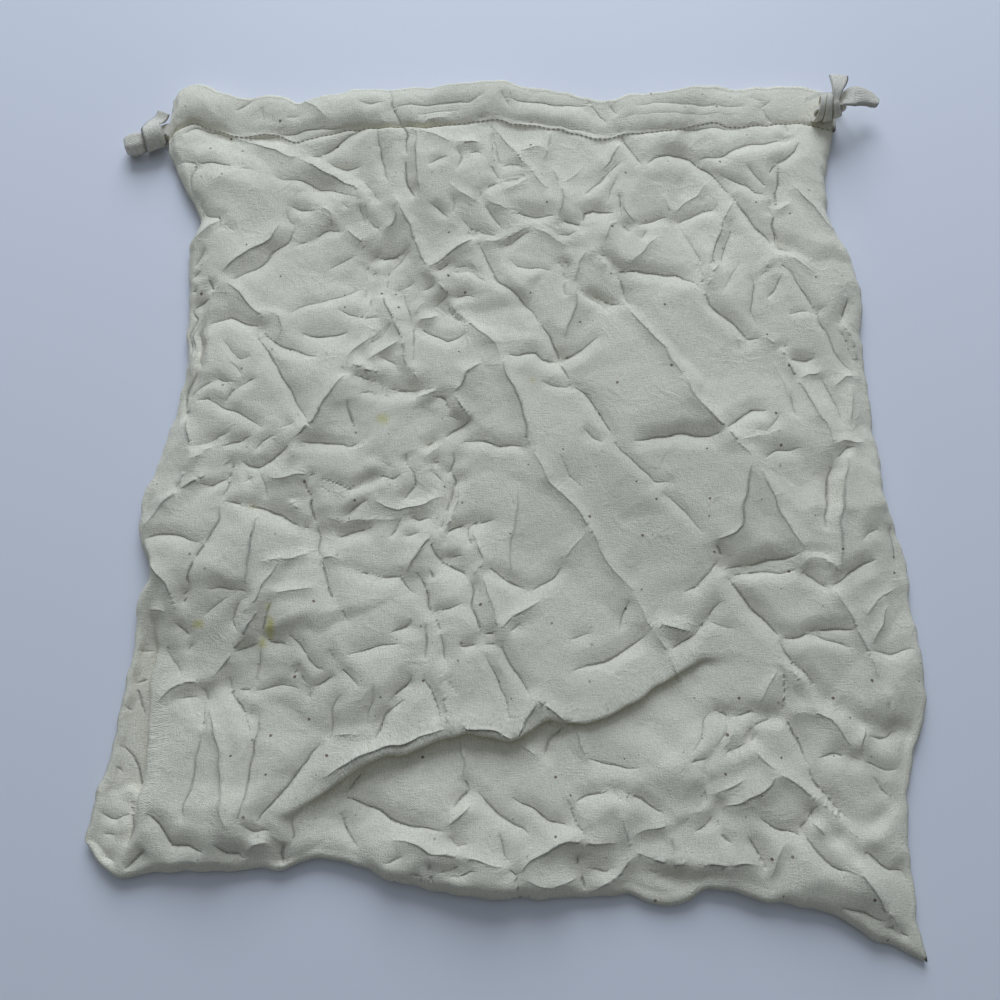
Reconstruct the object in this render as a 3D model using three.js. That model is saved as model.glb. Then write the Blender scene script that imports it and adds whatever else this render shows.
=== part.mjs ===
// Drawstring dust bag of unbleached calico, lying flat and crumpled, mouth towards +Y, front up.
// Millimetres, +Z up. The chart used by the tables has +X to the right and +Y towards the mouth;
// the finished group is moved so that its origin lies under the middle of the two panels.
import * as THREE from "three";

// Cloth and tape
const CLOTH = 1.0; // one layer of cloth
const GAP = 0.3; // clearance between pieces that are sewn or tied together
const TAPE_WIDTH = 11;
const TAPE_THICK = 1.0;
const LAYER_STEP = CLOTH + GAP; // from the middle of one layer to the middle of the next

// Height of the layers above the table
const BACK_MIDDLE = CLOTH / 2; // middle of the back panel's cloth
const SEAM_MIDDLE = BACK_MIDDLE + LAYER_STEP; // middle of the front panel's cloth at a side seam
const CROWN = 13.5; // middle of the front panel's cloth in the puffed part
const SIDE_ROLL = 36; // how far in from the side seams the front reaches its crown
const FOOT_ROLL = 30; // the same at the bottom seam

// Hem with its drawstring channel, measured from the mouth edge
const STITCH_LINE = 28; // depth of the stitching that closes the channel
const FLAP_END = 31; // where the turned-in cloth ends
const TURN_REACH = 2.6; // depth at which the cloth begins its turn at the mouth edge
const MOUTH_NOSE = 2.1; // how far that turn stands out
const HEM_BLEND = 28; // over this depth below the stitching the front rises to its crown
const CHANNEL_RISE = CLOTH / 2 + GAP + TAPE_THICK + GAP + CLOTH / 2; // from layer to layer
const TAPE_RISE = CLOTH / 2 + GAP + TAPE_THICK / 2; // from a layer's middle to the tape's middle
const LANE_GAP = 1.2; // between the two tapes in one channel
const SIDE_STUB = 0.6; // straight part of a tape outside the side edge before it turns
const UPPER_LANE = TURN_REACH + TAPE_WIDTH / 2; // middle of the tape next to the mouth edge
const LOWER_LANE = UPPER_LANE + TAPE_WIDTH + LANE_GAP;
const MOUTH_LOW = BACK_MIDDLE + CHANNEL_RISE + LAYER_STEP; // front's inner layer, mouth closed
const MOUTH_ARCH = 5.7; // how much higher it stands where the mouth gapes

// Outline, side to side: x of the two side edges, and of the line along which the front laps over
// itself beside the left edge (lapped: how fully, step: its height); liftL and liftR raise the edges
const SIDES = [
  { up: 0, left: -207, right: 206, lap: -192, lapped: 0, step: 0, liftL: 3, liftR: 1 },
  { up: 0.05, left: -202, right: 204, lap: -180, lapped: 0.3, step: 3, liftL: 3, liftR: 0.5 },
  { up: 0.1, left: -198, right: 203, lap: -176, lapped: 0.8, step: 5, liftL: 2, liftR: 0.5 },
  { up: 0.155, left: -195, right: 206, lap: -175, lapped: 1, step: 5.5, liftL: 2, liftR: 1 },
  { up: 0.2, left: -192, right: 210, lap: -177, lapped: 0.8, step: 5, liftL: 2, liftR: 2 },
  { up: 0.23, left: -192, right: 218, lap: -179, lapped: 0.3, step: 4, liftL: 2, liftR: 2 },
  { up: 0.28, left: -191, right: 220, lap: -180, lapped: 0, step: 2, liftL: 2, liftR: 2 },
  { up: 0.32, left: -187, right: 219, lap: -176, lapped: 0, step: 0, liftL: 2, liftR: 1 },
  { up: 0.36, left: -194, right: 218, lap: -182, lapped: 0, step: 0, liftL: 4, liftR: 1 },
  { up: 0.4, left: -194, right: 217, lap: -182, lapped: 0, step: 0, liftL: 4, liftR: 1 },
  { up: 0.44, left: -190, right: 214, lap: -179, lapped: 0, step: 0, liftL: 3, liftR: 1 },
  { up: 0.48, left: -186, right: 210, lap: -175, lapped: 0, step: 0, liftL: 2, liftR: 1 },
  { up: 0.52, left: -181, right: 209, lap: -170, lapped: 0, step: 1, liftL: 2, liftR: 1 },
  { up: 0.57, left: -178, right: 208, lap: -167, lapped: 0.1, step: 2, liftL: 2, liftR: 1 },
  { up: 0.64, left: -178, right: 206, lap: -167, lapped: 0.1, step: 2, liftL: 2, liftR: 2 },
  { up: 0.7, left: -180, right: 208, lap: -169, lapped: 0, step: 1, liftL: 2, liftR: 3 },
  { up: 0.76, left: -182, right: 206, lap: -171, lapped: 0, step: 0, liftL: 2, liftR: 3 },
  { up: 0.8, left: -177, right: 198, lap: -166, lapped: 0, step: 0, liftL: 3, liftR: 2 },
  { up: 0.83, left: -181, right: 194, lap: -170, lapped: 0, step: 0, liftL: 4, liftR: 1 },
  { up: 0.87, left: -190, right: 196, lap: -178, lapped: 0, step: 0, liftL: 4, liftR: 1 },
  { up: 0.905, left: -198, right: 198, lap: -185, lapped: 0, step: 0, liftL: 1, liftR: 0 },
  { up: 0.93, left: -200, right: 200, lap: -188, lapped: 0, step: 0, liftL: 0, liftR: 0 },
  { up: 0.95, left: -200, right: 202, lap: -188, lapped: 0, step: 0, liftL: 0, liftR: 0 },
  { up: 1, left: -199, right: 201, lap: -185, lapped: 0, step: 0, liftL: 0, liftR: 0 },
];

// Outline, bottom to mouth: y of the bottom seam and of the mouth edge, and of the ledge along which
// the upper cloth laps over the lower; puff is how the mouth edge bulges over its tape
const ENDS = [
  { across: 0, bottom: -194, ledge: -168, top: 237, lapped: 0, step: 0, puff: 1, lift: 3 },
  { across: 0.03, bottom: -206, ledge: -170, top: 246, lapped: 0, step: 0, puff: 1.5, lift: 3 },
  { across: 0.06, bottom: -210, ledge: -172, top: 245, lapped: 0, step: 0, puff: 1, lift: 2 },
  { across: 0.1, bottom: -208, ledge: -174, top: 238, lapped: 0, step: 0, puff: 0.5, lift: 2 },
  { across: 0.16, bottom: -207, ledge: -176, top: 238, lapped: 0, step: 0, puff: 1, lift: 2 },
  { across: 0.2, bottom: -207, ledge: -178, top: 232, lapped: 0, step: 0, puff: 0.5, lift: 2 },
  { across: 0.24, bottom: -206, ledge: -180, top: 235, lapped: 0.1, step: 2, puff: 1, lift: 2 },
  { across: 0.28, bottom: -201, ledge: -168, top: 239, lapped: 0.6, step: 5, puff: 1.5, lift: 3 },
  { across: 0.32, bottom: -204, ledge: -155, top: 240, lapped: 0.9, step: 6, puff: 1, lift: 4 },
  { across: 0.38, bottom: -212, ledge: -146, top: 240, lapped: 1, step: 6.5, puff: 2, lift: 5 },
  { across: 0.44, bottom: -218, ledge: -139, top: 243, lapped: 1, step: 6.5, puff: 2, lift: 4 },
  { across: 0.5, bottom: -220, ledge: -141, top: 246, lapped: 1, step: 6, puff: 2, lift: 2 },
  { across: 0.54, bottom: -221, ledge: -134, top: 243, lapped: 0.8, step: 5.5, puff: 2, lift: 1 },
  { across: 0.59, bottom: -219, ledge: -134, top: 239, lapped: 0.8, step: 5, puff: 2, lift: 2 },
  { across: 0.65, bottom: -219, ledge: -121, top: 234, lapped: 0.8, step: 5, puff: 1, lift: 2 },
  { across: 0.71, bottom: -223, ledge: -106, top: 237, lapped: 0.3, step: 4, puff: 1, lift: 2 },
  { across: 0.75, bottom: -216, ledge: -104, top: 239, lapped: 0, step: 1, puff: 1, lift: 4 },
  { across: 0.8, bottom: -219, ledge: -106, top: 244, lapped: 0, step: 0, puff: 1, lift: 5 },
  { across: 0.86, bottom: -224, ledge: -110, top: 244, lapped: 0, step: 0, puff: 1, lift: 4 },
  { across: 0.9, bottom: -228, ledge: -112, top: 246, lapped: 0, step: 0, puff: 1, lift: 2 },
  { across: 0.95, bottom: -240, ledge: -116, top: 247, lapped: 0, step: 0, puff: 0.3, lift: 1 },
  { across: 1, bottom: -249, ledge: -120, top: 244, lapped: 0, step: 0, puff: 0, lift: 1 },
];

// Main folds of the front: ridges stand up and troughs sink, with a soft bell-shaped section
const FOLDS = [
  { name: "brow", height: 2.2, width: 13, line: [[-176, 214], [-130, 200], [-106, 189], [-78, 172]] },
  { name: "brow hollow", height: -2.6, width: 12, line: [[-140, 184], [-112, 178], [-86, 168]] },
  { name: "hem hollow", height: -3, width: 13, line: [[-150, 206], [-118, 200], [-90, 206]] },
  { name: "deep pleat", height: -3, width: 11, line: [[-60, 212], [-56, 192], [-52, 168]] },
  { name: "first diagonal", height: 2.4, width: 13, line: [[-61, 162], [-38, 118], [-8, 76], [17, 16]] },
  { name: "shoulder valley", height: -3, width: 14, line: [[-160, 117], [-142, 133], [-120, 152]] },
  { name: "left arm", height: -2.2, width: 12, line: [[-166, 90], [-140, 86], [-104, 66]] },
  { name: "long scar", height: -2.4, width: 12, line: [[-138, 84], [-120, 54], [-104, 24]] },
  { name: "inner diagonal", height: 2.4, width: 12, line: [[-90, 148], [-68, 114], [-50, 62]] },
  { name: "heart hollow", height: -2.6, width: 16, line: [[-118, 80], [-84, 77]] },
  { name: "belt", height: -2.4, width: 13, line: [[-100, 58], [-66, 52], [-36, 46], [-22, 34]] },
  { name: "neck crease", height: -2.6, width: 12, line: [[70, 212], [84, 190]] },
  { name: "shoulder", height: -3, width: 14, line: [[88, 194], [112, 199], [134, 181], [158, 138]] },
  { name: "second diagonal", height: 2, width: 13, line: [[-12, 132], [15, 98], [38, 55], [72, 4]] },
  { name: "third diagonal", height: 2.6, width: 14, line: [[50, 136], [72, 104], [106, 52], [124, 22]] },
  { name: "cross valley", height: -3, width: 15, line: [[68, 14], [112, 18], [146, 36]] },
  { name: "shelf", height: -2.4, width: 13, line: [[70, 119], [108, 114], [142, 80]] },
  { name: "middle hollow", height: -3, width: 15, line: [[4, 74], [30, 76], [50, 96]] },
  { name: "bridge", height: -2.6, width: 13, line: [[30, 154], [50, 160], [72, 160]] },
  { name: "right long", height: -2.4, width: 13, line: [[158, 134], [182, 94], [196, 60]] },
  { name: "right column", height: -2.6, width: 12, line: [[164, 56], [178, 22], [172, -38]] },
  { name: "left wing", height: 2.6, width: 14, line: [[-186, -32], [-166, -6], [-146, 4]] },
  { name: "furrow", height: -2.6, width: 13, line: [[-150, -18], [-116, -28], [-96, -40]] },
  { name: "spine", height: -2.2, width: 12, line: [[-102, -8], [-98, -48], [-80, -84]] },
  { name: "stain ridge", height: 3, width: 14, line: [[-152, -116], [-134, -94], [-112, -53]] },
  { name: "centre furrow", height: -3, width: 13, line: [[-62, -62], [-34, -34], [-27, 6]] },
  { name: "centre pleat", height: -2.4, width: 12, line: [[-36, -48], [-16, -78], [0, -116]] },
  { name: "left pleat", height: 2.4, width: 13, line: [[-151, -116], [-144, -146], [-136, -178]] },
  { name: "upper shelf", height: -2.4, width: 12, line: [[14, -116], [44, -106], [78, -90], [112, -72]] },
  { name: "fourth diagonal", height: -2.4, width: 13, line: [[114, -42], [132, -78], [148, -108]] },
  { name: "right shelf", height: -3, width: 14, line: [[120, -54], [158, -52], [196, -48]] },
  { name: "right band", height: -2.6, width: 13, line: [[146, -92], [176, -92], [204, -106]] },
  { name: "right ridge", height: 2.6, width: 13, line: [[140, 4], [160, -48], [190, -98], [206, -132]] },
  { name: "right furrow", height: -2.6, width: 13, line: [[148, -110], [174, -130], [204, -138]] },
  { name: "lower furrow", height: -3, width: 13, line: [[118, -134], [104, -164], [108, -184]] },
  { name: "long furrow", height: -2.6, width: 13, line: [[146, -132], [160, -166], [184, -198]] },
  { name: "corner ridge", height: 2.6, width: 12, line: [[160, -176], [182, -206], [196, -232]] },
  { name: "corner cup", height: -4, width: 11, line: [[162, -218], [176, -226], [190, -234]] },
  { name: "foot shelf", height: -2.6, width: 12, line: [[64, -206], [96, -211], [128, -210]] },
  { name: "low band", height: 2, width: 14, line: [[-96, -176], [-40, -184], [30, -176], [84, -180]] },
];

// Section across a lap, from the lower layer to the upper: where each strip of cloth lies when it is
// spread and when it is lapped, from the lap's line, and how much of the step it has climbed
const LAP = [
  { spread: -7, lapped: -7, rise: 0 },
  { spread: -5, lapped: -1.5, rise: 0 },
  { spread: -3.5, lapped: 2.6, rise: 0.02 },
  { spread: -2.2, lapped: 3.4, rise: 0.14 },
  { spread: -1.2, lapped: 2.6, rise: 0.28 },
  { spread: 0, lapped: 0, rise: 0.5 },
  { spread: 1.2, lapped: -2.6, rise: 0.72 },
  { spread: 2.2, lapped: -3.4, rise: 0.86 },
  { spread: 3.5, lapped: -2.6, rise: 0.98 },
  { spread: 5, lapped: 1.5, rise: 1 },
  { spread: 7, lapped: 7, rise: 1 },
];
const LAP_HALF = 7; // from the lap's line to where the cloth runs on undisturbed

// How finely the sheets are divided
const STRIP_COLUMNS = 3; // outer strip, left of the side lap
const FIELD_COLUMNS = 26;
const FOOT_ROWS = 7; // below the ledge
const FIELD_ROWS = 24;
const HEM_START = 40; // depth below the mouth edge where the hem's own rows begin
const FRONT_OUTER = [34, STITCH_LINE, 26, 20, 14, 9, 5]; // depths of the rows outside
const FRONT_INNER = [5, 12, 20, 25, FLAP_END]; // depths of the rows of the turned-in flap
const BACK_OUTER = [STITCH_LINE, 16];
const BACK_INNER = [14, 26, STITCH_LINE, FLAP_END];
const TURN_ANGLES = [90, 30, -30, -90]; // round the mouth edge, in degrees

const EDGE_FADE = 26; // how far in a lifted edge reaches
const FOLDS_FROM = 4; // the folds and the ledge begin this far in from the seams
const FOLDS_FULL = 22; // and have their full height from here on
const LAP_FROM = 2; // the same two distances for the lap beside the left edge
const LAP_FULL = 10;
const LEDGE_NEAR = 10; // below the ledge its step halves between these two distances
const LEDGE_FAR = 60;
const FOLD_ENDS = 0.45; // share of its height that a fold has at its ends
const MOUTH_OPENS = [0.04, 0.26]; // shares of the width between which the mouth's arch rises
const MOUTH_CLOSES = [0.74, 0.96]; // and falls again
const SWELL_START = 3; // the channel's swell over the tape begins this far before the mouth edge
const SWELL_LENGTH = 18;
const CROWN_LEAN = 0.984; // the folds are charted as seen from above the lower half, so that on
const CROWN_SHIFT = -2.7; // the crown they lie a little nearer than the chart shows

// Tie ends and knots: rings of the tape's middle, with its width and thickness there
const RIGHT_TAB = [
  { x: 202.6, y: 241.5, z: 23.8, wide: 11.5, thick: 1 },
  { x: 202.2, y: 238.2, z: 24.8, wide: 11, thick: 1 },
  { x: 201.4, y: 234, z: 25.5, wide: 9, thick: 1.1 },
  { x: 200.3, y: 229.6, z: 25.5, wide: 6.2, thick: 1.2 },
];
const RIGHT_WRAPS = {
  x: 197, y: 224.5, z: 17, axisX: 0.955, axisY: 0.07, axisZ: 0.28, radius: 7.2, taper: 0.2,
  wide: 6.3, thick: 1.5, angleFrom: -720, angleTo: 180, shiftFrom: 8, shiftTo: -8.5, crowd: 0.45,
};
const RIGHT_LOOP = [
  { x: 189.8, y: 227.8, z: 9.1, wide: 5, thick: 1.4, flat: true },
  { x: 187.9, y: 230.2, z: 8.8, wide: 4.8, thick: 1.4, flat: true },
  { x: 186.9, y: 232.6, z: 8.8, wide: 4.8, thick: 1.4, flat: true },
  { x: 187.8, y: 235, z: 8.8, wide: 5.2, thick: 1.3, flat: true },
  { x: 190.6, y: 236.2, z: 8.8, wide: 7, thick: 1.1, flat: true },
  { x: 195, y: 236.4, z: 8.75, wide: 9.5, thick: 1, flat: true },
  { x: 201.8, y: 236, z: 8.7, wide: 11, thick: 1, flat: true },
];
const RIGHT_RISER = [
  { x: 205.9, y: 235.9, z: 2.1, wide: 11, thick: 1 },
  { x: 207.5, y: 235.8, z: 4, wide: 11, thick: 1 },
  { x: 208.4, y: 235, z: 7.5, wide: 10.5, thick: 1 },
  { x: 208.9, y: 233, z: 11.5, wide: 9.5, thick: 1.2 },
  { x: 208.6, y: 229.6, z: 15.2, wide: 8.5, thick: 1.4 },
  { x: 206.4, y: 226.2, z: 16.9, wide: 8, thick: 1.5 },
  { x: 200.4, y: 224.9, z: 15.4, wide: 8, thick: 1.4 },
  { x: 195, y: 224.5, z: 13.9, wide: 8, thick: 1.3 },
  { x: 192.9, y: 224.4, z: 13.8, wide: 8, thick: 1.2 },
  { x: 191.5, y: 224.4, z: 14.8, wide: 8, thick: 1.2 },
  { x: 191.2, y: 224.4, z: 16.3, wide: 8, thick: 1.2 },
  { x: 192.1, y: 224.4, z: 17.6, wide: 8, thick: 1.2 },
  { x: 194.2, y: 224.5, z: 18.3, wide: 8, thick: 1.3 },
  { x: 199.6, y: 224.9, z: 19.4, wide: 8, thick: 1.4 },
  { x: 204.3, y: 225.6, z: 20.4, wide: 8, thick: 1.5 },
  { x: 208.6, y: 227.6, z: 20.3, wide: 9, thick: 1.6, lean: 15 },
  { x: 212.6, y: 229.8, z: 19.2, wide: 10.5, thick: 1.8, lean: 35 },
  { x: 217, y: 231.6, z: 17.3, wide: 12.5, thick: 2, lean: 50 },
  { x: 221.5, y: 232.6, z: 15.2, wide: 13, thick: 2.4, lean: 50 },
  { x: 225.5, y: 232.8, z: 13.6, wide: 11, thick: 3.4, lean: 40 },
  { x: 228.6, y: 232.4, z: 12.8, wide: 6.5, thick: 3, lean: 30 },
];
const LEFT_FRAYED = [
  { x: -204.6, y: 227, z: 8.7, wide: 8, thick: 1 },
  { x: -205.6, y: 224.4, z: 8.3, wide: 8, thick: 1 },
  { x: -207.1, y: 221.9, z: 8.5, wide: 8.5, thick: 1, lean: 5 },
  { x: -208.5, y: 219.8, z: 9.5, wide: 9, thick: 1, lean: 14 },
  { x: -209.3, y: 217.9, z: 11, wide: 10.5, thick: 1, lean: 24 },
  { x: -209.6, y: 216.1, z: 12.4, wide: 11.5, thick: 1, lean: 33 },
];
const LEFT_WRAPS = {
  x: -208.9, y: 210, z: 8.4, axisX: 0.914, axisY: 0.406, axisZ: 0, radius: 6.6, taper: 0,
  wide: 12.3, thick: 1, angleFrom: -40, angleTo: 130, shiftFrom: 1, shiftTo: -1.6, crowd: 0,
};
const LEFT_UNDER = [
  { x: -209.6, y: 206, z: 2.8, wide: 9.5, thick: 1 },
  { x: -211.6, y: 209.8, z: 1.9, wide: 7.5, thick: 1.2, flat: true },
  { x: -212.9, y: 213.2, z: 1.7, wide: 7, thick: 1.2, flat: true },
  { x: -211.4, y: 216.4, z: 1.7, wide: 7, thick: 1.2, flat: true },
  { x: -207.8, y: 217.4, z: 1.7, wide: 8.5, thick: 1.1, flat: true },
  { x: -203.6, y: 216.9, z: 1.8, wide: 10.5, thick: 1, square: true },
];
const LEFT_ROLL = [
  { x: -202, y: 216.2, z: 5.8, wide: 10.6, thick: 1, square: true },
  { x: -204.6, y: 215.3, z: 6.6, wide: 6.8, thick: 1.8 },
  { x: -206.4, y: 213.4, z: 7.6, wide: 6.8, thick: 2.8 },
  { x: -208.3, y: 211.3, z: 8.1, wide: 7.8, thick: 4 },
  { x: -210.8, y: 209.4, z: 8.4, wide: 8.4, thick: 5.4 },
  { x: -214.2, y: 207.9, z: 8.2, wide: 8.8, thick: 5.6 },
  { x: -216.8, y: 206.8, z: 7.5, wide: 11.5, thick: 8, flat: true },
  { x: -219.8, y: 205.8, z: 6.9, wide: 13, thick: 10, flat: true },
  { x: -223.5, y: 204.8, z: 6.5, wide: 12.5, thick: 9.6, flat: true },
  { x: -226.2, y: 204.1, z: 6.3, wide: 9, thick: 6.5, flat: true },
];
const WRAP_ANGLE = 22.5; // between the rings of a wrap, in degrees
const SIDE_TURN_ANGLES = [-90, -45, 0, 45, 90]; // round a side edge, in degrees
// Section of a tape, in shares of its width and thickness
const TAPE_SECTION = [[-0.5, 0], [-0.46, -0.5], [0.46, -0.5], [0.5, 0], [0.46, 0.5], [-0.46, 0.5]];

const CALICO = { color: 0xe4dfcf, roughness: 0.92, metalness: 0 };
const WEBBING = { color: 0xdcd3bd, roughness: 0.9, metalness: 0 };

const { clamp, lerp, smoothstep, degToRad } = THREE.MathUtils;
const UP = new THREE.Vector3(0, 0, 1);

// One named column of a table at a place between its rows, on a smooth curve through them
function read(rows, key, column, at) {
  const place = clamp(at, rows[0][key], rows[rows.length - 1][key]);
  const i = Math.max(rows.findIndex((row) => row[key] >= place), 1);
  const slope = (k) => {
    const a = rows[Math.max(k - 1, 0)];
    const b = rows[Math.min(k + 1, rows.length - 1)];
    return (b[column] - a[column]) / (b[key] - a[key]);
  };
  const from = rows[i - 1];
  const to = rows[i];
  const span = to[key] - from[key];
  const t = (place - from[key]) / span;
  const bend = span * t * (1 - t) * (slope(i - 1) * (1 - t) - slope(i) * t);
  return lerp(from[column], to[column], t * t * (3 - 2 * t)) + bend;
}

const side = (column, up) => read(SIDES, "up", column, up);
const end = (column, across) => read(ENDS, "across", column, across);

// A quarter of an ellipse: 0 at a seam, 1 from the given distance inwards
function roll(distance, reach) {
  const rest = 1 - clamp(distance / reach, 0, 1);
  return Math.sqrt(1 - rest * rest);
}

const FOLD_LINES = FOLDS.map((fold) => ({
  ...fold,
  points: fold.line.map(
    ([x, y]) => new THREE.Vector2(x * CROWN_LEAN, y * CROWN_LEAN + CROWN_SHIFT),
  ),
}));

// Height that the main folds add at a point
function foldHeight(x, y) {
  const place = new THREE.Vector2(x, y);
  const foot = new THREE.Vector2();
  const run = new THREE.Vector2();
  let sum = 0;
  for (const { height, width, points } of FOLD_LINES) {
    let near = Infinity;
    let along = 0;
    for (let i = 1; i < points.length; i++) {
      run.subVectors(points[i], points[i - 1]);
      const t = clamp(foot.subVectors(place, points[i - 1]).dot(run) / run.lengthSq(), 0, 1);
      const distance = foot.copy(points[i - 1]).addScaledVector(run, t).distanceTo(place);
      if (distance < near) {
        near = distance;
        along = (i - 1 + t) / (points.length - 1);
      }
    }
    const bell = Math.max(1 - (near / width) ** 2, 0) ** 2;
    sum += height * bell * lerp(FOLD_ENDS, 1, Math.sin(Math.PI * along));
  }
  return sum;
}

// How far the edges of both panels are lifted off the table at a point, dying out inwards
function edgeLift(across, up, x, y) {
  const fade = (distance) => (1 - clamp(distance / EDGE_FADE, 0, 1)) ** 2;
  const left = side("liftL", up) * fade(x - side("left", up));
  const right = side("liftR", up) * fade(side("right", up) - x);
  const foot = end("lift", across) * fade(y - end("bottom", across));
  return Math.max(left, right, foot, 0);
}

// Middle of the front's turned-in layer at the mouth: low at both ends, arched between them
function mouthMiddle(across) {
  const arch = smoothstep(across, ...MOUTH_OPENS) * (1 - smoothstep(across, ...MOUTH_CLOSES));
  return MOUTH_LOW + MOUTH_ARCH * arch;
}

// Middle of the front's outer layer over the channel, at a depth below the mouth edge
function channelTop(across, depth) {
  const shut = smoothstep(depth, LOWER_LANE + TAPE_WIDTH / 2, STITCH_LINE);
  const swell = Math.sin(Math.PI * clamp((depth + SWELL_START) / SWELL_LENGTH, 0, 1));
  const puff = Math.max(end("puff", across), 0) * swell;
  return mouthMiddle(across) + lerp(CHANNEL_RISE, LAYER_STEP, shut) + puff;
}

// Middle of the front's cloth below the hem; the two rises say how far a lap has been climbed
function frontHeight(across, up, x, y, sideRise, ledgeRise) {
  const fromLeft = x - side("left", up);
  const fromRight = side("right", up) - x;
  const fromFoot = y - end("bottom", across);
  const belowLedge = end("ledge", across) - y;
  const resting = SEAM_MIDDLE + edgeLift(across, up, x, y);
  const crown = roll(fromLeft, SIDE_ROLL) * roll(fromRight, SIDE_ROLL) * roll(fromFoot, FOOT_ROLL);
  const inside = smoothstep(Math.min(fromLeft, fromRight, fromFoot), FOLDS_FROM, FOLDS_FULL);
  const ledgeDrop =
    end("step", across) * (1 - ledgeRise) * smoothstep(fromFoot, FOLDS_FROM, FOLDS_FULL);
  const body =
    resting +
    (CROWN - resting) * crown +
    foldHeight(x, y) * inside -
    side("step", up) * (1 - sideRise) * smoothstep(fromLeft, LAP_FROM, LAP_FULL) -
    ledgeDrop * (1 - smoothstep(belowLedge, LEDGE_NEAR, LEDGE_FAR) / 2);
  const sewn = mouthMiddle(across) + LAYER_STEP;
  const depth = end("top", across) - y;
  return lerp(sewn, Math.max(body, resting), smoothstep(depth, STITCH_LINE, STITCH_LINE + HEM_BLEND));
}

// Stations along one direction of a sheet: even ones before the lap, the lap's own, even ones after
function stations(before, after, lapStations) {
  const list = [];
  for (let i = 0; i < before; i++) list.push({ part: i / before, side: "before" });
  for (const station of lapStations) list.push({ ...station, side: "lap" });
  for (let i = 1; i <= after; i++) list.push({ part: i / after, side: "after" });
  return list;
}

// Where a station lies while the cloth is spread, between two edges and round a lap's line
function spreadAt(station, from, line, to) {
  if (station.side === "before") return lerp(from, line - LAP_HALF, station.part);
  if (station.side === "after") return lerp(line + LAP_HALF, to, station.part);
  return line + station.spread;
}

// Place of a column and a row on the outline: both follow the edges and the laps of the other
function settle(column, rowAt) {
  let across = 0.5;
  let up = 0.5;
  let x = 0;
  let y = 0;
  for (let i = 0; i < 6; i++) {
    x = spreadAt(column, side("left", up), side("lap", up), side("right", up));
    across = clamp((x - side("left", up)) / (side("right", up) - side("left", up)), 0, 1);
    y = rowAt(across);
    up = clamp((y - end("bottom", across)) / (end("top", across) - end("bottom", across)), 0, 1);
  }
  return { x, y, across, up };
}

// How far a lap moves the cloth of one station along the sheet
const lapShift = (station, share) =>
  station.side === "lap" ? (station.lapped - station.spread) * clamp(share, 0, 1) : 0;

// How much of the step a station has climbed
const lapRise = (station) =>
  station.side === "lap" ? station.rise : Number(station.side === "after");

// The grid of a panel's cloth: columns from left to right, each from the bottom seam to the mouth
// edge and back along the turned-in flap
function panelGrid(columns, rows, field, outer, turn, inner) {
  return columns.map((column) => {
    const line = rows.map((row) => {
      const ledgeAt = (across) =>
        spreadAt(row, end("bottom", across), end("ledge", across), end("top", across) - HEM_START);
      return field(column, row, settle(column, ledgeAt));
    });
    const hem = (depth) => settle(column, (across) => end("top", across) - depth);
    for (const depth of outer) line.push(turn.outer(hem(depth), depth));
    for (const angle of TURN_ANGLES) line.push(turn.round(hem(TURN_REACH), degToRad(angle)));
    for (const depth of inner) line.push(turn.inner(hem(depth), depth));
    return line;
  });
}

function frontGrid() {
  const field = (column, row, { x, y, across, up }) => {
    const z = frontHeight(across, up, x, y, lapRise(column), lapRise(row));
    return new THREE.Vector3(
      x + lapShift(column, side("lapped", up)),
      y + lapShift(row, end("lapped", across)),
      z,
    );
  };
  const turn = {
    outer: ({ x, y, across, up }, depth) => {
      const open = depth > STITCH_LINE;
      const z = open ? frontHeight(across, up, x, y, 1, 1) : channelTop(across, depth);
      return new THREE.Vector3(x, y, z);
    },
    round: ({ x, y, across }, angle) => {
      const low = mouthMiddle(across);
      const half = (channelTop(across, TURN_REACH) - low) / 2;
      return new THREE.Vector3(x, y + MOUTH_NOSE * Math.cos(angle), low + half * (1 + Math.sin(angle)));
    },
    inner: ({ x, y, across }) => new THREE.Vector3(x, y, mouthMiddle(across)),
  };
  const columns = stations(STRIP_COLUMNS, FIELD_COLUMNS, LAP);
  return panelGrid(columns, stations(FOOT_ROWS, FIELD_ROWS, LAP), field, FRONT_OUTER, turn, FRONT_INNER);
}

function backGrid() {
  const lying = ({ x, y, across, up }) =>
    new THREE.Vector3(x, y, BACK_MIDDLE + edgeLift(across, up, x, y));
  const turn = {
    outer: lying,
    round: ({ x, y }, angle) => {
      const z = BACK_MIDDLE + (CHANNEL_RISE / 2) * (1 - Math.sin(angle));
      return new THREE.Vector3(x, y + MOUTH_NOSE * Math.cos(angle), z);
    },
    inner: ({ x, y }, depth) => {
      const shut = smoothstep(depth, LOWER_LANE + TAPE_WIDTH / 2, STITCH_LINE);
      return new THREE.Vector3(x, y, BACK_MIDDLE + lerp(CHANNEL_RISE, LAYER_STEP, shut));
    },
  };
  const plain = [LAP[0], LAP[5], LAP[10]];
  const columns = stations(STRIP_COLUMNS, FIELD_COLUMNS, plain);
  const rows = stations(FOOT_ROWS, FIELD_ROWS, plain);
  return panelGrid(columns, rows, (column, row, place) => lying(place), BACK_OUTER, turn, BACK_INNER);
}

// A closed mesh from points and triangles
function closedMesh(name, points, triangles, look) {
  const geometry = new THREE.BufferGeometry().setFromPoints(points);
  geometry.setIndex(triangles.flat());
  geometry.computeVertexNormals();
  const mesh = new THREE.Mesh(geometry, new THREE.MeshStandardMaterial(look));
  mesh.name = name;
  return mesh;
}

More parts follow.
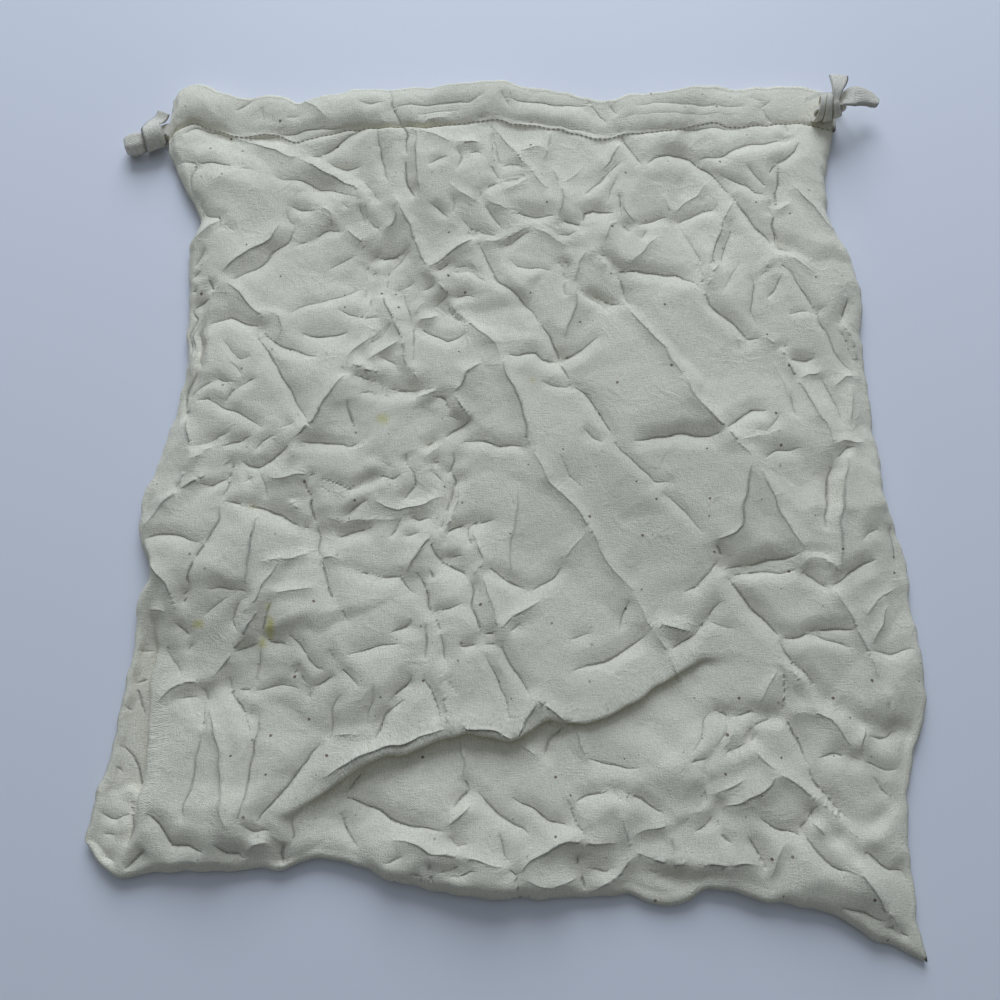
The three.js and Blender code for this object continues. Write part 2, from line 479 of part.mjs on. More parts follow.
// A sheet of cloth round the given grid of its middle, half a thickness to either side
function sheet(name, grid, look) {
  const columns = grid.length;
  const rows = grid[0].length;
  const faceUp = [];
  const faceDown = [];
  for (let i = 0; i < columns; i++) {
    for (let j = 0; j < rows; j++) {
      const alongRow = grid[Math.min(i + 1, columns - 1)][j].clone();
      alongRow.sub(grid[Math.max(i - 1, 0)][j]);
      const alongColumn = grid[i][Math.min(j + 1, rows - 1)].clone();
      alongColumn.sub(grid[i][Math.max(j - 1, 0)]);
      const out = alongRow.cross(alongColumn).setLength(CLOTH / 2);
      faceUp.push(grid[i][j].clone().add(out));
      faceDown.push(grid[i][j].clone().sub(out));
    }
  }
  const at = (i, j) => i * rows + j;
  const under = faceUp.length;
  const triangles = [];
  for (let i = 1; i < columns; i++) {
    for (let j = 1; j < rows; j++) {
      const [a, b, c, d] = [at(i - 1, j - 1), at(i, j - 1), at(i, j), at(i - 1, j)];
      triangles.push([a, b, c], [a, c, d]);
      triangles.push([a + under, c + under, b + under], [a + under, d + under, c + under]);
    }
  }
  const rim = [];
  for (let i = 0; i < columns; i++) rim.push(at(i, 0));
  for (let j = 1; j < rows; j++) rim.push(at(columns - 1, j));
  for (let i = columns - 2; i >= 0; i--) rim.push(at(i, rows - 1));
  for (let j = rows - 2; j > 0; j--) rim.push(at(0, j));
  rim.forEach((from, k) => {
    const to = rim[(k + 1) % rim.length];
    triangles.push([from, from + under, to + under], [from, to + under, to]);
  });
  return closedMesh(name, [...faceUp, ...faceDown], triangles, look);
}

// Rings of a tape wound round an axis: 0 degrees is on top, 90 in front. The wraps crowd together
// on top and taper towards both ends
function wound(wraps) {
  const axis = new THREE.Vector3(wraps.axisX, wraps.axisY, wraps.axisZ).normalize();
  const front = axis.clone().cross(UP).normalize();
  const top = front.clone().cross(axis);
  const count = Math.round(Math.abs(wraps.angleTo - wraps.angleFrom) / WRAP_ANGLE);
  const rings = [];
  for (let i = 0; i <= count; i++) {
    const angle = degToRad(lerp(wraps.angleFrom, wraps.angleTo, i / count));
    const crowded = 1 - wraps.crowd * (0.5 + 0.5 * Math.cos(angle));
    const radius = wraps.radius * (1 - wraps.taper * (2 * (i / count) - 1) ** 2);
    const at = new THREE.Vector3(wraps.x, wraps.y, wraps.z);
    at.addScaledVector(axis, lerp(wraps.shiftFrom, wraps.shiftTo, i / count) * crowded);
    at.addScaledVector(top, radius * Math.cos(angle));
    at.addScaledVector(front, radius * Math.sin(angle));
    rings.push({ at, across: axis, wide: wraps.wide * crowded, thick: wraps.thick });
  }
  return rings;
}

// Rings from the rows of a table; lean turns the width out of the level, in degrees
const listed = (rows) =>
  rows.map(({ x, y, z, ...rest }) => ({ at: new THREE.Vector3(x, y, z), ...rest }));

// Rings of a tape in the channel of the front or of the back panel, from the left side to the right
function channelRun(lane, middleAt) {
  const flat = stations(STRIP_COLUMNS, FIELD_COLUMNS, [LAP[0], LAP[5], LAP[10]]);
  return flat.map((column) => {
    const { x, y, across } = settle(column, (place) => end("top", place) - lane);
    const at = new THREE.Vector3(x, y, middleAt(across));
    return { at, wide: TAPE_WIDTH, thick: TAPE_THICK, square: true };
  });
}

// Rings of a tape's turn outside a side edge, from one height to another
function sideTurn(from, to, outwards) {
  const middle = from.at.clone().lerp(to.at, 0.5);
  const half = (to.at.z - from.at.z) / 2;
  return SIDE_TURN_ANGLES.map((degrees) => {
    const angle = degToRad(degrees);
    const reach = SIDE_STUB + Math.abs(half) * Math.cos(angle);
    const x = lerp(from.at.x, to.at.x, 0.5 + degrees / 180) + outwards * reach;
    const at = new THREE.Vector3(x, middle.y, middle.z + half * Math.sin(angle));
    return { at, wide: TAPE_WIDTH, thick: TAPE_THICK };
  });
}

// A tape swept through its rings. Its width keeps its direction from ring to ring unless a ring
// gives one; a flat ring lies level, and a square one runs straight across the bag as well
function tape(name, rings, firstAcross, look) {
  const points = [];
  const triangles = [];
  const sides = TAPE_SECTION.length;
  let across = firstAcross.clone();
  rings.forEach((ring, k) => {
    const ahead = rings[Math.min(k + 1, rings.length - 1)].at.clone();
    const travel = ahead.sub(rings[Math.max(k - 1, 0)].at).normalize();
    if (ring.across) across = ring.across.clone();
    if (ring.square) travel.set(Math.sign(travel.x), 0, 0);
    if (ring.flat) travel.setZ(0).normalize();
    across.addScaledVector(travel, -across.dot(travel));
    if (ring.square || ring.flat) across.setZ(0);
    across.normalize();
    const wide = ring.lean ? across.clone().applyAxisAngle(travel, degToRad(ring.lean)) : across;
    const out = travel.clone().cross(wide).normalize();
    for (const [w, t] of TAPE_SECTION) {
      const corner = ring.at.clone().addScaledVector(wide, w * ring.wide);
      points.push(corner.addScaledVector(out, t * ring.thick));
    }
    if (k === 0) return;
    for (let j = 0; j < sides; j++) {
      const a = (k - 1) * sides + j;
      const b = (k - 1) * sides + ((j + 1) % sides);
      triangles.push([a, b, b + sides], [a, b + sides, a + sides]);
    }
  });
  const last = (rings.length - 1) * sides;
  for (let j = 1; j < sides - 1; j++) {
    triangles.push([0, j + 1, j], [last, last + j, last + j + 1]);
  }
  return closedMesh(name, points, triangles, look);
}

const inFront = (across) => mouthMiddle(across) + TAPE_RISE;
const inBack = () => BACK_MIDDLE + TAPE_RISE;

function rightTie() {
  const front = channelRun(UPPER_LANE, inFront).reverse();
  const back = channelRun(UPPER_LANE, inBack);
  const loop = listed(RIGHT_LOOP);
  const rings = [
    ...listed(RIGHT_TAB),
    ...wound(RIGHT_WRAPS),
    ...loop,
    ...sideTurn(loop[loop.length - 1], front[0], 1),
    ...front,
    ...sideTurn(front[front.length - 1], back[0], -1),
    ...back,
    ...listed(RIGHT_RISER),
  ];
  return tape("tie_right", rings, new THREE.Vector3(1, 0, 0), WEBBING);
}

function leftTie() {
  const front = channelRun(LOWER_LANE, inFront).reverse();
  const back = channelRun(LOWER_LANE, inBack);
  const rings = [
    ...listed(LEFT_FRAYED),
    ...wound(LEFT_WRAPS),
    ...listed(LEFT_UNDER),
    ...back,
    ...sideTurn(back[back.length - 1], front[0], 1),
    ...front,
    ...listed(LEFT_ROLL),
  ];
  return tape("tie_left", rings, new THREE.Vector3(1, 0, 0), WEBBING);
}

const panels = new THREE.Group();
panels.add(sheet("front_panel", frontGrid(), CALICO), sheet("back_panel", backGrid(), CALICO));
const box = new THREE.Box3().setFromObject(panels);
const middle = box.getCenter(new THREE.Vector3());

const bag = new THREE.Group();
bag.name = "dust_bag";
bag.add(panels, rightTie(), leftTie());
bag.position.set(-middle.x, -middle.y, -box.min.z);

export default bag;
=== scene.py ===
"""Drawstring dust bag of unbleached calico, lying flat and crumpled with its front up.

The tables are in millimetres on the chart of the bag: +X to the right, +Y towards the mouth and
+Z up, seen from straight above. The finished pieces are in metres, in the row's frame.
"""

from __future__ import annotations

import logging
import math
from dataclasses import dataclass, field, fields
from enum import Enum
from typing import Callable, Sequence

import bpy
import numpy as np
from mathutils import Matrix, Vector
from mathutils.bvhtree import BVHTree
from mathutils.geometry import delaunay_2d_cdt


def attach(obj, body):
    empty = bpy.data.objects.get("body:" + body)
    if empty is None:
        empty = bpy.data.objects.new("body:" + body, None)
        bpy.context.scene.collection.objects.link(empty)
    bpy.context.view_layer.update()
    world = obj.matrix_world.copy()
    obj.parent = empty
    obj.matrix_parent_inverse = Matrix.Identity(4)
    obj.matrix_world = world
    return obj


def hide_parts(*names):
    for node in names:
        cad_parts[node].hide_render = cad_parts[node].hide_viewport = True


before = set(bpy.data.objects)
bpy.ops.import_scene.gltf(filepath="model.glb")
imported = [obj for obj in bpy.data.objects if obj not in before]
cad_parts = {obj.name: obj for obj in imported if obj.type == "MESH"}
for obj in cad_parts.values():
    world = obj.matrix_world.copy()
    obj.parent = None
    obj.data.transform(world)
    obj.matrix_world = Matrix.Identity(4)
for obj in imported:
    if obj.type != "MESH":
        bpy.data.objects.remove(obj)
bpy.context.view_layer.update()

log = logging.getLogger("dust_bag")

Array = np.ndarray
Values = Array | float
Socket = bpy.types.NodeSocket
Material = bpy.types.Material
Colour = tuple[float, float, float, float]

MM = 0.001
CHART_MIDDLE = np.array([6.5863, -1.2559, 0.0])  # the row frame's origin on the chart

# Cloth and tape
CLOTH = 1.0  # one layer of the solids' cloth
VISIBLE_CLOTH = 0.7  # one layer as it is drawn
GAP = 0.3  # between pieces that touch
TAPE_WIDTH = 11.0
TAPE_THICK = 1.0
LAYER_STEP = CLOTH + GAP
BACK_MIDDLE = CLOTH / 2
SEAM_MIDDLE = BACK_MIDDLE + LAYER_STEP
CROWN = 13.5  # height of the cloth away from its seams
SIDE_ROLL = 36.0  # how far in from a side it reaches that height
FOOT_ROLL = 30.0

# Hem with its drawstring channel, measured from the mouth edge
STITCH_LINE = 28.0
FLAP_END = 31.0
TURN_REACH = 2.6  # where the hem's turn begins
MOUTH_NOSE = 2.1  # how far the turn stands out
TURN_LENGTH = 3.0  # length of cloth round the mouth edge, laid flat
TURN_ANGLES = (90, 60, 30, 0, -30, -60, -90)
HEM_BLEND = 28.0  # over which the cloth rises below the seam
CHANNEL_RISE = CLOTH / 2 + GAP + TAPE_THICK + GAP + CLOTH / 2
TAPE_RISE = CLOTH / 2 + GAP + TAPE_THICK / 2
LANE_GAP = 1.2
SIDE_STUB = 0.6  # how far a tape's turn stands out at a side
UPPER_LANE = TURN_REACH + TAPE_WIDTH / 2
LOWER_LANE = UPPER_LANE + TAPE_WIDTH + LANE_GAP
MOUTH_LOW = BACK_MIDDLE + CHANNEL_RISE + LAYER_STEP
MOUTH_ARCH = 5.7  # how far the mouth gapes in the middle
ARCH_START = (0.04, 0.26)  # shares of the way across
ARCH_END = (0.74, 0.96)
HEM_START = 40.0  # where the hem's own rows begin
LAP_HALF = 7.0  # half of the cloth in a lap

# Relief
CREASE_SOFT = 0.9  # roundness of a crease's bottom
CREASE_POWER = 1.5  # how hollow its slopes are
HEM_SHARE = 0.7  # how much of the creases shows over the hem
HEM_EASE = 6.0  # over which that changes at the seam
HEM_PLAY = 1.8  # how much the hem stands off its tapes
SEAM_PLAY = 1.7  # and how much the seam's outer layer stands off the flap
GROOVE = 0.5  # how deep the seam pulls the hem in
GATHER = 0.45  # how high the cloth gathers along the seam


@dataclass(frozen=True)
class Table:
    """A short table with named columns, the first of which is the place along an edge.

    Attributes:
        columns: Names of the columns, parted by spaces.
        rows: The rows, in rising order of their first column.
    """

    columns: str
    rows: tuple[tuple[float, ...], ...]

    def read(self, column: str, at: Values) -> Array:
        """Read one column at any places, on a smooth curve through its rows.

        Args:
            column: Name of the column.
            at: Places in the terms of the first column.

        Returns:
            The column's values there.
        """
        rows = np.array(self.rows, float)
        place = rows[:, 0]
        value = rows[:, self.columns.split().index(column)]
        at = np.clip(at, place[0], place[-1])
        slope = np.empty_like(value)
        slope[1:-1] = (value[2:] - value[:-2]) / (place[2:] - place[:-2])
        slope[0] = (value[1] - value[0]) / (place[1] - place[0])
        slope[-1] = (value[-1] - value[-2]) / (place[-1] - place[-2])
        i = np.clip(np.searchsorted(place, at), 1, len(place) - 1)
        span = place[i] - place[i - 1]
        t = (at - place[i - 1]) / span
        bend = span * t * (1 - t) * (slope[i - 1] * (1 - t) - slope[i] * t)
        return value[i - 1] + (value[i] - value[i - 1]) * t * t * (3 - 2 * t) + bend


SIDES = Table("up left right lap lapped step lift_left lift_right", (
    (0, -207, 206, -192, 0, 0, 3, 1),
    (0.05, -202, 204, -180, 0.3, 3, 3, 0.5),
    (0.1, -198, 203, -176, 0.8, 5, 2, 0.5),
    (0.155, -195, 206, -175, 1, 5.5, 2, 1),
    (0.2, -192, 210, -177, 0.8, 5, 2, 2),
    (0.23, -192, 218, -179, 0.3, 4, 2, 2),
    (0.28, -191, 220, -180, 0, 2, 2, 2),
    (0.32, -187, 219, -176, 0, 0, 2, 1),
    (0.36, -194, 218, -182, 0, 0, 4, 1),
    (0.4, -194, 217, -182, 0, 0, 4, 1),
    (0.44, -190, 214, -179, 0, 0, 3, 1),
    (0.48, -186, 210, -175, 0, 0, 2, 1),
    (0.52, -181, 209, -170, 0, 1, 2, 1),
    (0.57, -178, 208, -167, 0.1, 2, 2, 1),
    (0.64, -178, 206, -167, 0.1, 2, 2, 2),
    (0.7, -180, 208, -169, 0, 1, 2, 3),
    (0.76, -182, 206, -171, 0, 0, 2, 3),
    (0.8, -177, 198, -166, 0, 0, 3, 2),
    (0.83, -181, 194, -170, 0, 0, 4, 1),
    (0.87, -190, 196, -178, 0, 0, 4, 1),
    (0.905, -198, 198, -185, 0, 0, 1, 0),
    (0.93, -200, 200, -188, 0, 0, 0, 0),
    (0.95, -200, 202, -188, 0, 0, 0, 0),
    (1, -199, 201, -185, 0, 0, 0, 0),
))

ENDS = Table("across bottom ledge top lapped step puff lift", (
    (0, -194, -168, 237, 0, 0, 1, 3),
    (0.03, -206, -170, 246, 0, 0, 1.5, 3),
    (0.06, -210, -172, 245, 0, 0, 1, 2),
    (0.1, -208, -174, 238, 0, 0, 0.5, 2),
    (0.16, -207, -176, 238, 0, 0, 1, 2),
    (0.2, -207, -178, 232, 0, 0, 0.5, 2),
    (0.24, -206, -180, 235, 0.1, 2, 1, 2),
    (0.28, -201, -168, 239, 0.6, 5, 1.5, 3),
    (0.32, -204, -155, 240, 0.9, 6, 1, 4),
    (0.38, -212, -146, 240, 1, 6.5, 2, 5),
    (0.44, -218, -139, 243, 1, 6.5, 2, 4),
    (0.5, -220, -141, 246, 1, 6, 2, 2),
    (0.54, -221, -134, 243, 0.8, 5.5, 2, 1),
    (0.59, -219, -134, 239, 0.8, 5, 2, 2),
    (0.65, -219, -121, 234, 0.8, 5, 1, 2),
    (0.71, -223, -106, 237, 0.3, 4, 1, 2),
    (0.75, -216, -104, 239, 0, 1, 1, 4),
    (0.8, -219, -106, 244, 0, 0, 1, 5),
    (0.86, -224, -110, 244, 0, 0, 1, 4),
    (0.9, -228, -112, 246, 0, 0, 1, 2),
    (0.95, -240, -116, 247, 0, 0, 0.3, 1),
    (1, -249, -120, 244, 0, 0, 0, 1),
))

LAP = Table("spread lapped rise", (
    (-7, -7, 0),
    (-5, -1.5, 0),
    (-3.5, 2.6, 0.02),
    (-2.2, 3.4, 0.14),
    (-1.2, 2.6, 0.28),
    (0, 0, 0.5),
    (1.2, -2.6, 0.72),
    (2.2, -3.4, 0.86),
    (3.5, -2.6, 0.98),
    (5, 1.5, 1),
    (7, 7, 1),
))


@dataclass(frozen=True)
class Crease:
    """A ridge or trough of the front along a line on the chart.

    Attributes:
        height: How far it stands up, or sinks where negative, in mm.
        left: Reach of its slope to the left of the line's run, in mm.
        right: Reach of its slope to the right, in mm.
        line: Points of the line, in mm.
    """

    height: float
    left: float
    right: float
    line: Array

    @classmethod
    def listed(cls, row: str) -> Crease:
        """Read a crease from a row of its table."""
        height, *rest = row.split()
        reaches = [float(part) for part in rest if "," not in part]
        line = np.array([part.split(",") for part in rest if "," in part], float)
        return cls(float(height), reaches[0], reaches[-1], line)

    @classmethod
    def all_listed(cls, regions: dict[str, str]) -> list[Crease]:
        """Read the creases of all regions in order."""
        return [cls.listed(row) for rows in regions.values() for row in rows.split("\n") if row]


# The creases by region. Each row: height, reach to the left and to the right of the line (or one
# for both), then the line's points as x,y
CREASES = {
    "hem, from the left": """
-2.5 3 -161,226 -155,230 -148,236
1.8 4 -122,230 -118,231 -110,224 -104,216
-2.2 5 -84,228 -77,225 -69,228
-1.3 3 -144,228 -144,218
-1 3 -138,223 -139,217
-1 4 -170,230 -171,223
-1.2 3 -130,220 -119,221
-2.4 4 5 -61,224 -54,224 -38,226 -24,228 -18,228 -10,234
-2 3 0,236 2,232 5,228
-3.4 3 4 5,234 10,232 20,230 38,227 46,228 53,228
-2.6 3 6 51,235 55,228 60,221 65,216
1.8 4 68,237 64,231
-2.2 6 66,229 70,221
-1.8 4 80,226 95,229 130,228 150,230
-0.8 2.5 71,216 82,220 104,222 126,222 146,224
-2 2.5 160,228 164,220 168,216
-2 3 157,226 159,230 164,234
-1.5 2.5 172,218 174,211
-1.2 3 150,237 155,234 160,234
""",
    "under the stitches": """
-2.2 4 -191,210 -185,215 -180,216 -172,214 -161,208
-2.6 3 8 -165,213 -155,209 -147,208 -125,210 -101,210 -80,214
-1.6 3 5 -48,219 -36,221 -24,223
-1.2 3 5 0,218 20,216 40,212 62,209
-1.4 3 5 80,210 102,212 130,213 150,215
""",
    "upper left": """
2.4 7 8 -165,213 -153,206 -145,202 -135,198 -128,195 -119,191
3 7 12 -119,191 -114,187 -105,182 -95,176 -86,172 -75,162
-2 8 5 -134,180 -118,176 -105,171 -92,168 -80,163
-3 6 4 -115,191 -107,192 -100,197 -93,203 -86,210 -79,214
-2 4 -102,189 -97,185 -90,184 -82,186
-2.4 4 -75,212 -72,200 -71,194 -68,184 -66,174
-2.4 3.5 -80,175 -75,170 -70,161
-1.5 2.5 -77,168 -73,161
-2.2 9 -197,190 -180,191 -170,189 -159,186 -145,183
-2.2 5 -180,190 -183,180 -182,170 -179,164
-3 3 -178,164 -175,157 -178,151
-2.5 3 -175,157 -171,154 -164,152 -162,144
-1.4 2.5 -161,148 -154,142
1.8 4 -164,150 -170,144 -176,139
-1.8 3 -171,132 -175,124 -177,121
-2 3 -177,114 -173,118
1 6 -169,176 -161,180 -155,184
3.4 9 15 -129,148 -132,139 -141,132 -152,124 -159,116
-2.2 8 9 -119,148 -122,135 -131,130 -140,120 -153,111
-1.6 2.5 -126,157 -124,150 -120,146
-1.8 4 -125,160 -118,156 -110,156
1.5 6 -105,158 -100,154 -98,148
-2 4 -108,136 -105,141 -100,144 -91,144
-1.4 4 -117,134 -108,139
2 5 -91,146 -86,141 -80,137 -77,128
-2.6 3 -81,136 -76,129 -70,123
-2.4 3 -78,125 -74,118 -70,114
-1.2 3 -99,120 -90,124 -83,129
-1.4 3 -92,162 -89,158
-2 4 -82,160 -80,148
-1.5 4 -80,154 -74,146 -68,143
""",
    "upper middle": """
-3.4 5 3 -67,238 -65,232 -64,226 -62,221 -58,210 -56,204 -56,190
-3.2 5 3 -56,191 -55,180 -54,172 -51,167 -48,163
2 7 4 -52,214 -50,205 -50,195 -48,180 -47,165
1.5 5 -50,211 -42,216 -30,218
1.5 5 -50,210 -40,205 -29,199
2.6 8 4 -27,200 -20,200 -14,201
-1.8 4 -26,198 -23,190 -25,181
-1.8 5 -42,184 -37,188 -32,190
-1.4 4 -18,193 -14,195 -11,193
-2 2.5 -4,214 -4,202 -2,193 1,186
1.8 4 -6,213 -6,200 -5,188
-1.8 3 -12,220 -9,217
-1.8 4 -6,185 -2,180 1,176
-1.2 4 0,186 5,188 10,187 16,183
-1.6 3 3,176 10,176 14,178 14,180
1.6 4 4,170 10,173 17,177
1.8 4 -4,215 7,198 12,190 17,183 22,177 28,170
1.4 6 10,196 18,198 27,200
1.6 4 32,213 31,206 28,198 25,191
2 5 31,184 34,176 37,168 38,164 35,155 34,147
1 8 35,172 45,180 49,185
-2.6 10 5 50,166 58,175 64,182 70,187
-1.4 5 64,160 65,167 69,178
-3.4 2.5 5 49,148 49,154 54,156 60,155 66,152
-2.5 5 35,150 40,147 46,146 49,149
-2 8 5 5,157 15,153 25,152 33,152
-2.2 2.5 -11,170 -12,164 -10,160
-2 4 -9,168 0,176
-1.8 3 -11,163 -4,154 2,145
1.2 4 -10,162 0,160 10,154
1.4 4 -29,172 -24,166 -16,162 -11,160
-1.5 2.5 -28,165 -26,159 -27,153
-2 3 -40,160 -35,156 -30,151
2.4 5 6 -62,164 -57,156 -53,147 -50,137 -45,127 -37,114
-3.6 10 4 -74,129 -67,126 -60,129 -53,133
2.6 6 7 -61,163 -60,154 -64,145 -69,143
-2 3 -20,141 -16,139 -14,137
3 12 6 -43,117 -32,124 -24,132 -15,138
-2 5 -40,117 -33,118 -26,123
-1.8 6 3 -22,150 -18,144 -10,141 0,142
1.8 3.5 -13,137 -5,138 5,140 12,143 18,146
-1.8 3 2,134 10,139 19,144
1.2 4 20,145 28,140 35,134 40,130
-1.4 3 33,140 40,139 45,142
-1.5 3 38,134 40,129
-2.4 3 32,125 36,120 38,111 38,101
-1.8 2.5 36,125 39,121 39,111
2 5 44,111 45,122 49,129
1.2 3 51,131 56,124 60,118
-2.2 4 55,127 60,124 65,120 68,116
1.5 6 70,147 65,144 61,135
-1.6 4 5,125 10,120 20,119 30,118
-1.4 4 -26,119 -20,120 -10,117
-1.8 3.5 -69,113 -65,117 -60,122 -52,132
""",
    "upper right": """
-2.6 3.5 70,211 74,205 79,197 83,186
2 9 60,184 67,193 73,200
-3.2 5 4 86,186 93,192 102,195 110,195 115,193 120,186 126,180 136,168
-3 5 4 136,168 139,162 144,154 150,144 158,133
-2.8 3 5 120,192 128,192 135,194 140,199 148,202 164,203 176,208
-1.6 3 166,207 170,204 176,207
-2.6 7 5 159,180 164,186 170,190 176,196 179,202
-3 3 166,184 164,177 162,170 161,158
-3.2 3 158,163 158,156 160,152 159,146 160,136 162,131 169,126
1.4 3 161,155 164,156 169,160
2.2 9 5 171,172 176,166 182,160 188,152 192,146 198,140
-2 4 3 130,182 144,173 150,168 157,167
-1.8 3 147,186 151,178 157,170
2.4 7 10 137,164 130,149 125,134 120,121 118,112
-1.6 6 136,152 132,136 126,120
1.4 5 96,168 100,158 102,152
1.5 7 102,156 110,164 117,168 122,175
-2 4 102,149 110,153 120,156 126,158 128,162
-2.2 3.5 80,146 86,149 95,153 98,154
-2.2 2.5 70,165 71,158 70,152
1.5 3 72,163 74,153 78,148
-1.6 3 70,148 74,143 76,141
-1.4 5 86,143 82,136
-3 7 3 60,124 63,120 66,116 84,115 101,114 107,110 115,104
1.5 6 74,120 80,126 85,132 91,138
-1.4 3 104,148 110,138 113,129 115,117 117,102
1.4 4 159,126 168,124 179,116
1.4 4 158,124 150,117 146,111
""",
    "left, above the middle": """
-2.6 3 -167,112 -165,106 -163,104
-2 3 -177,106 -174,106
-3 4 -176,96 -171,98 -165,100
-3 2.5 -177,98 -175,92 -172,88 -174,82 -176,76 -174,69 -175,61
2 4 -166,91 -171,86 -173,79 -172,69 -174,56
-1.8 2.5 -169,80 -168,69 -169,61 -166,56
-3 3 -169,55 -172,48 -174,40 -174,33
-3 4 -176,31 -171,31
-2.2 3.5 -171,40 -165,45 -158,50
2.4 4 10 -158,111 -150,104 -143,97 -138,91 -130,84
1.5 4 -158,111 -162,105 -165,95 -168,80
-2.8 2.5 4 -164,84 -159,86 -153,88 -147,86 -136,82 -130,82
-2.8 3 5 -135,80 -130,75 -123,70 -115,66 -109,64 -102,62
-2.6 3.5 -136,81 -135,75 -132,68 -127,60 -118,45 -112,37 -104,23
1.6 4 -132,90 -125,87 -122,80 -124,75
-1.5 3.5 -119,90 -115,93 -107,96 -99,99 -90,102 -80,107
-3 12 -112,77 -100,75 -85,78
-2 6 -93,94 -85,89 -75,86 -68,88
-2.4 3 -75,122 -74,105 -74,95 -76,89
-1.6 3 -78,122 -77,105 -78,91
-1.8 4 -71,112 -66,102
1.8 5 -85,61 -75,71 -66,81
-1.8 3 -73,70 -67,78 -62,84
-1.5 4 -155,73 -150,66 -145,62 -139,62
-1.3 4 -151,60 -146,56 -143,51
-1.8 4 -159,50 -153,48 -147,49
-2.4 3 4 -154,38 -150,37 -147,43 -142,46 -135,48
-2.2 4 5 -168,37 -161,38 -155,35 -145,30 -137,24 -129,20
-1.2 4 -119,20 -111,24
-2.2 4 -168,10 -159,12 -153,17 -146,18
-2.2 4 -151,11 -141,12 -135,15
-1.8 5 -133,7 -129,12 -122,15
-3.2 7 4 -141,1 -136,-2 -130,-2 -124,1 -119,6 -113,11 -110,14
3.2 7 9 -112,2 -111,12 -107,19 -102,23 -98,29 -95,37 -86,51
-3.2 14 -84,35 -80,22 -74,12
-2.6 5 4 -108,12 -100,12 -90,10 -81,9 -77,13
-2 2.5 -88,55 -84,50
3.2 5 4 -83,56 -75,54 -68,55
-2.4 3 4 -83,50 -75,49 -68,50
-2 3 -68,52 -65,42 -61,38
-1.6 4 -77,40 -72,43 -68,40
1.6 4 -168,1 -159,9 -155,12
2.6 8 9 -172,27 -171,21 -169,12 -168,2 -170,-5
""",
    "middle": """
-2.6 3.5 -14,136 -6,123 0,111 5,106 12,99 18,92 23,84
-3.2 3.5 23,84 28,76 32,67 35,58 40,49
-2.4 3.5 40,49 46,41 51,33 56,25 62,14
2.4 4 5 -40,118 -36,110 -31,103 -24,90 -20,86 -14,82 -8,77 -3,71 1,61
3.2 9 4 1,62 5,52 9,40 13,27 17,10
-2.6 8 4 -20,15 -10,14 0,11 16,10
2.8 9 4 -71,113 -65,96 -61,88 -57,78 -54,70 -52,61 -46,50
-1.8 6 -56,105 -52,92 -49,80 -48,69 -46,57
-1.8 3 -65,107 -65,116 -61,121
-1.2 3 -60,106 -54,108 -50,112
-2.4 6 3 -49,84 -45,82 -38,77 -30,73 -24,74 -19,78
1.8 4 -48,87 -40,88 -36,90
-2 4 -37,96 -32,100 -26,101 -20,102 -14,101
-2.4 4 -30,98 -28,92 -24,86 -18,84
1.2 5 -48,91 -46,96 -43,99
-1.6 4 -44,106 -39,108 -36,112
-1.8 3 6 -26,116 -16,117 -7,112
-3.2 8 6 3,65 10,64 20,66 24,62 28,61 33,63 40,65 48,69 55,74
2.4 4 8 36,77 39,85 43,95 45,108
-2 6 3 46,107 50,102 55,97 62,90
-2.4 5 49,103 55,100 62,96 69,96
-2.4 3 66,115 69,111 72,102 74,93
2 3.5 -73,61 -67,66 -61,70 -56,73
-1.8 3.5 -67,65 -61,61 -56,59
-3 4 3 -63,45 -56,44 -47,44 -38,44
1.8 3 -47,40 -41,41 -35,44
-2.8 2.5 -39,40 -34,40 -31,38 -28,32
-1.3 3 -29,29 -22,28
2.6 6 4 -26,40 -20,33 -16,28
3.2 12 6 -10,60 -18,54 -22,46 -26,42
-3 3 -16,28 -21,24 -26,20 -30,16
-2.6 3.5 -41,8 -40,12 -36,14 -31,13
-3.4 4 6 -26,9 -25,4 -26,-1 -24,-7 -26,-13 -28,-21 -31,-35
2.2 3 -22,-10 -23,-20 -27,-30 -29,-37 -32,-43
-2 3 -36,1 -32,2
1.6 3 -42,5 -36,9 -31,13
-1.6 5 -70,7 -64,2 -58,-2
-2 6 -51,7 -50,-1
-1.6 5 24,49 28,47 38,46 43,48
-1.8 6 45,19 50,15 57,12
-2.6 4 -80,-13 -74,-10 -69,-7 -63,-6 -58,-8 -54,-5
-2.2 3.5 -50,0 -47,-5 -46,-11 -50,-16 -52,-20
2.2 5 -33,-17 -40,-22 -49,-24 -55,-25 -62,-23 -69,-19
-1.6 3 -31,-1 -27,-3
-1.5 4 -38,-3 -31,-9
-2.2 4 -49,-28 -43,-31 -37,-30
-1.8 3 -50,-40 -42,-38
-2 4 -52,-30 -55,-37 -58,-40
""",
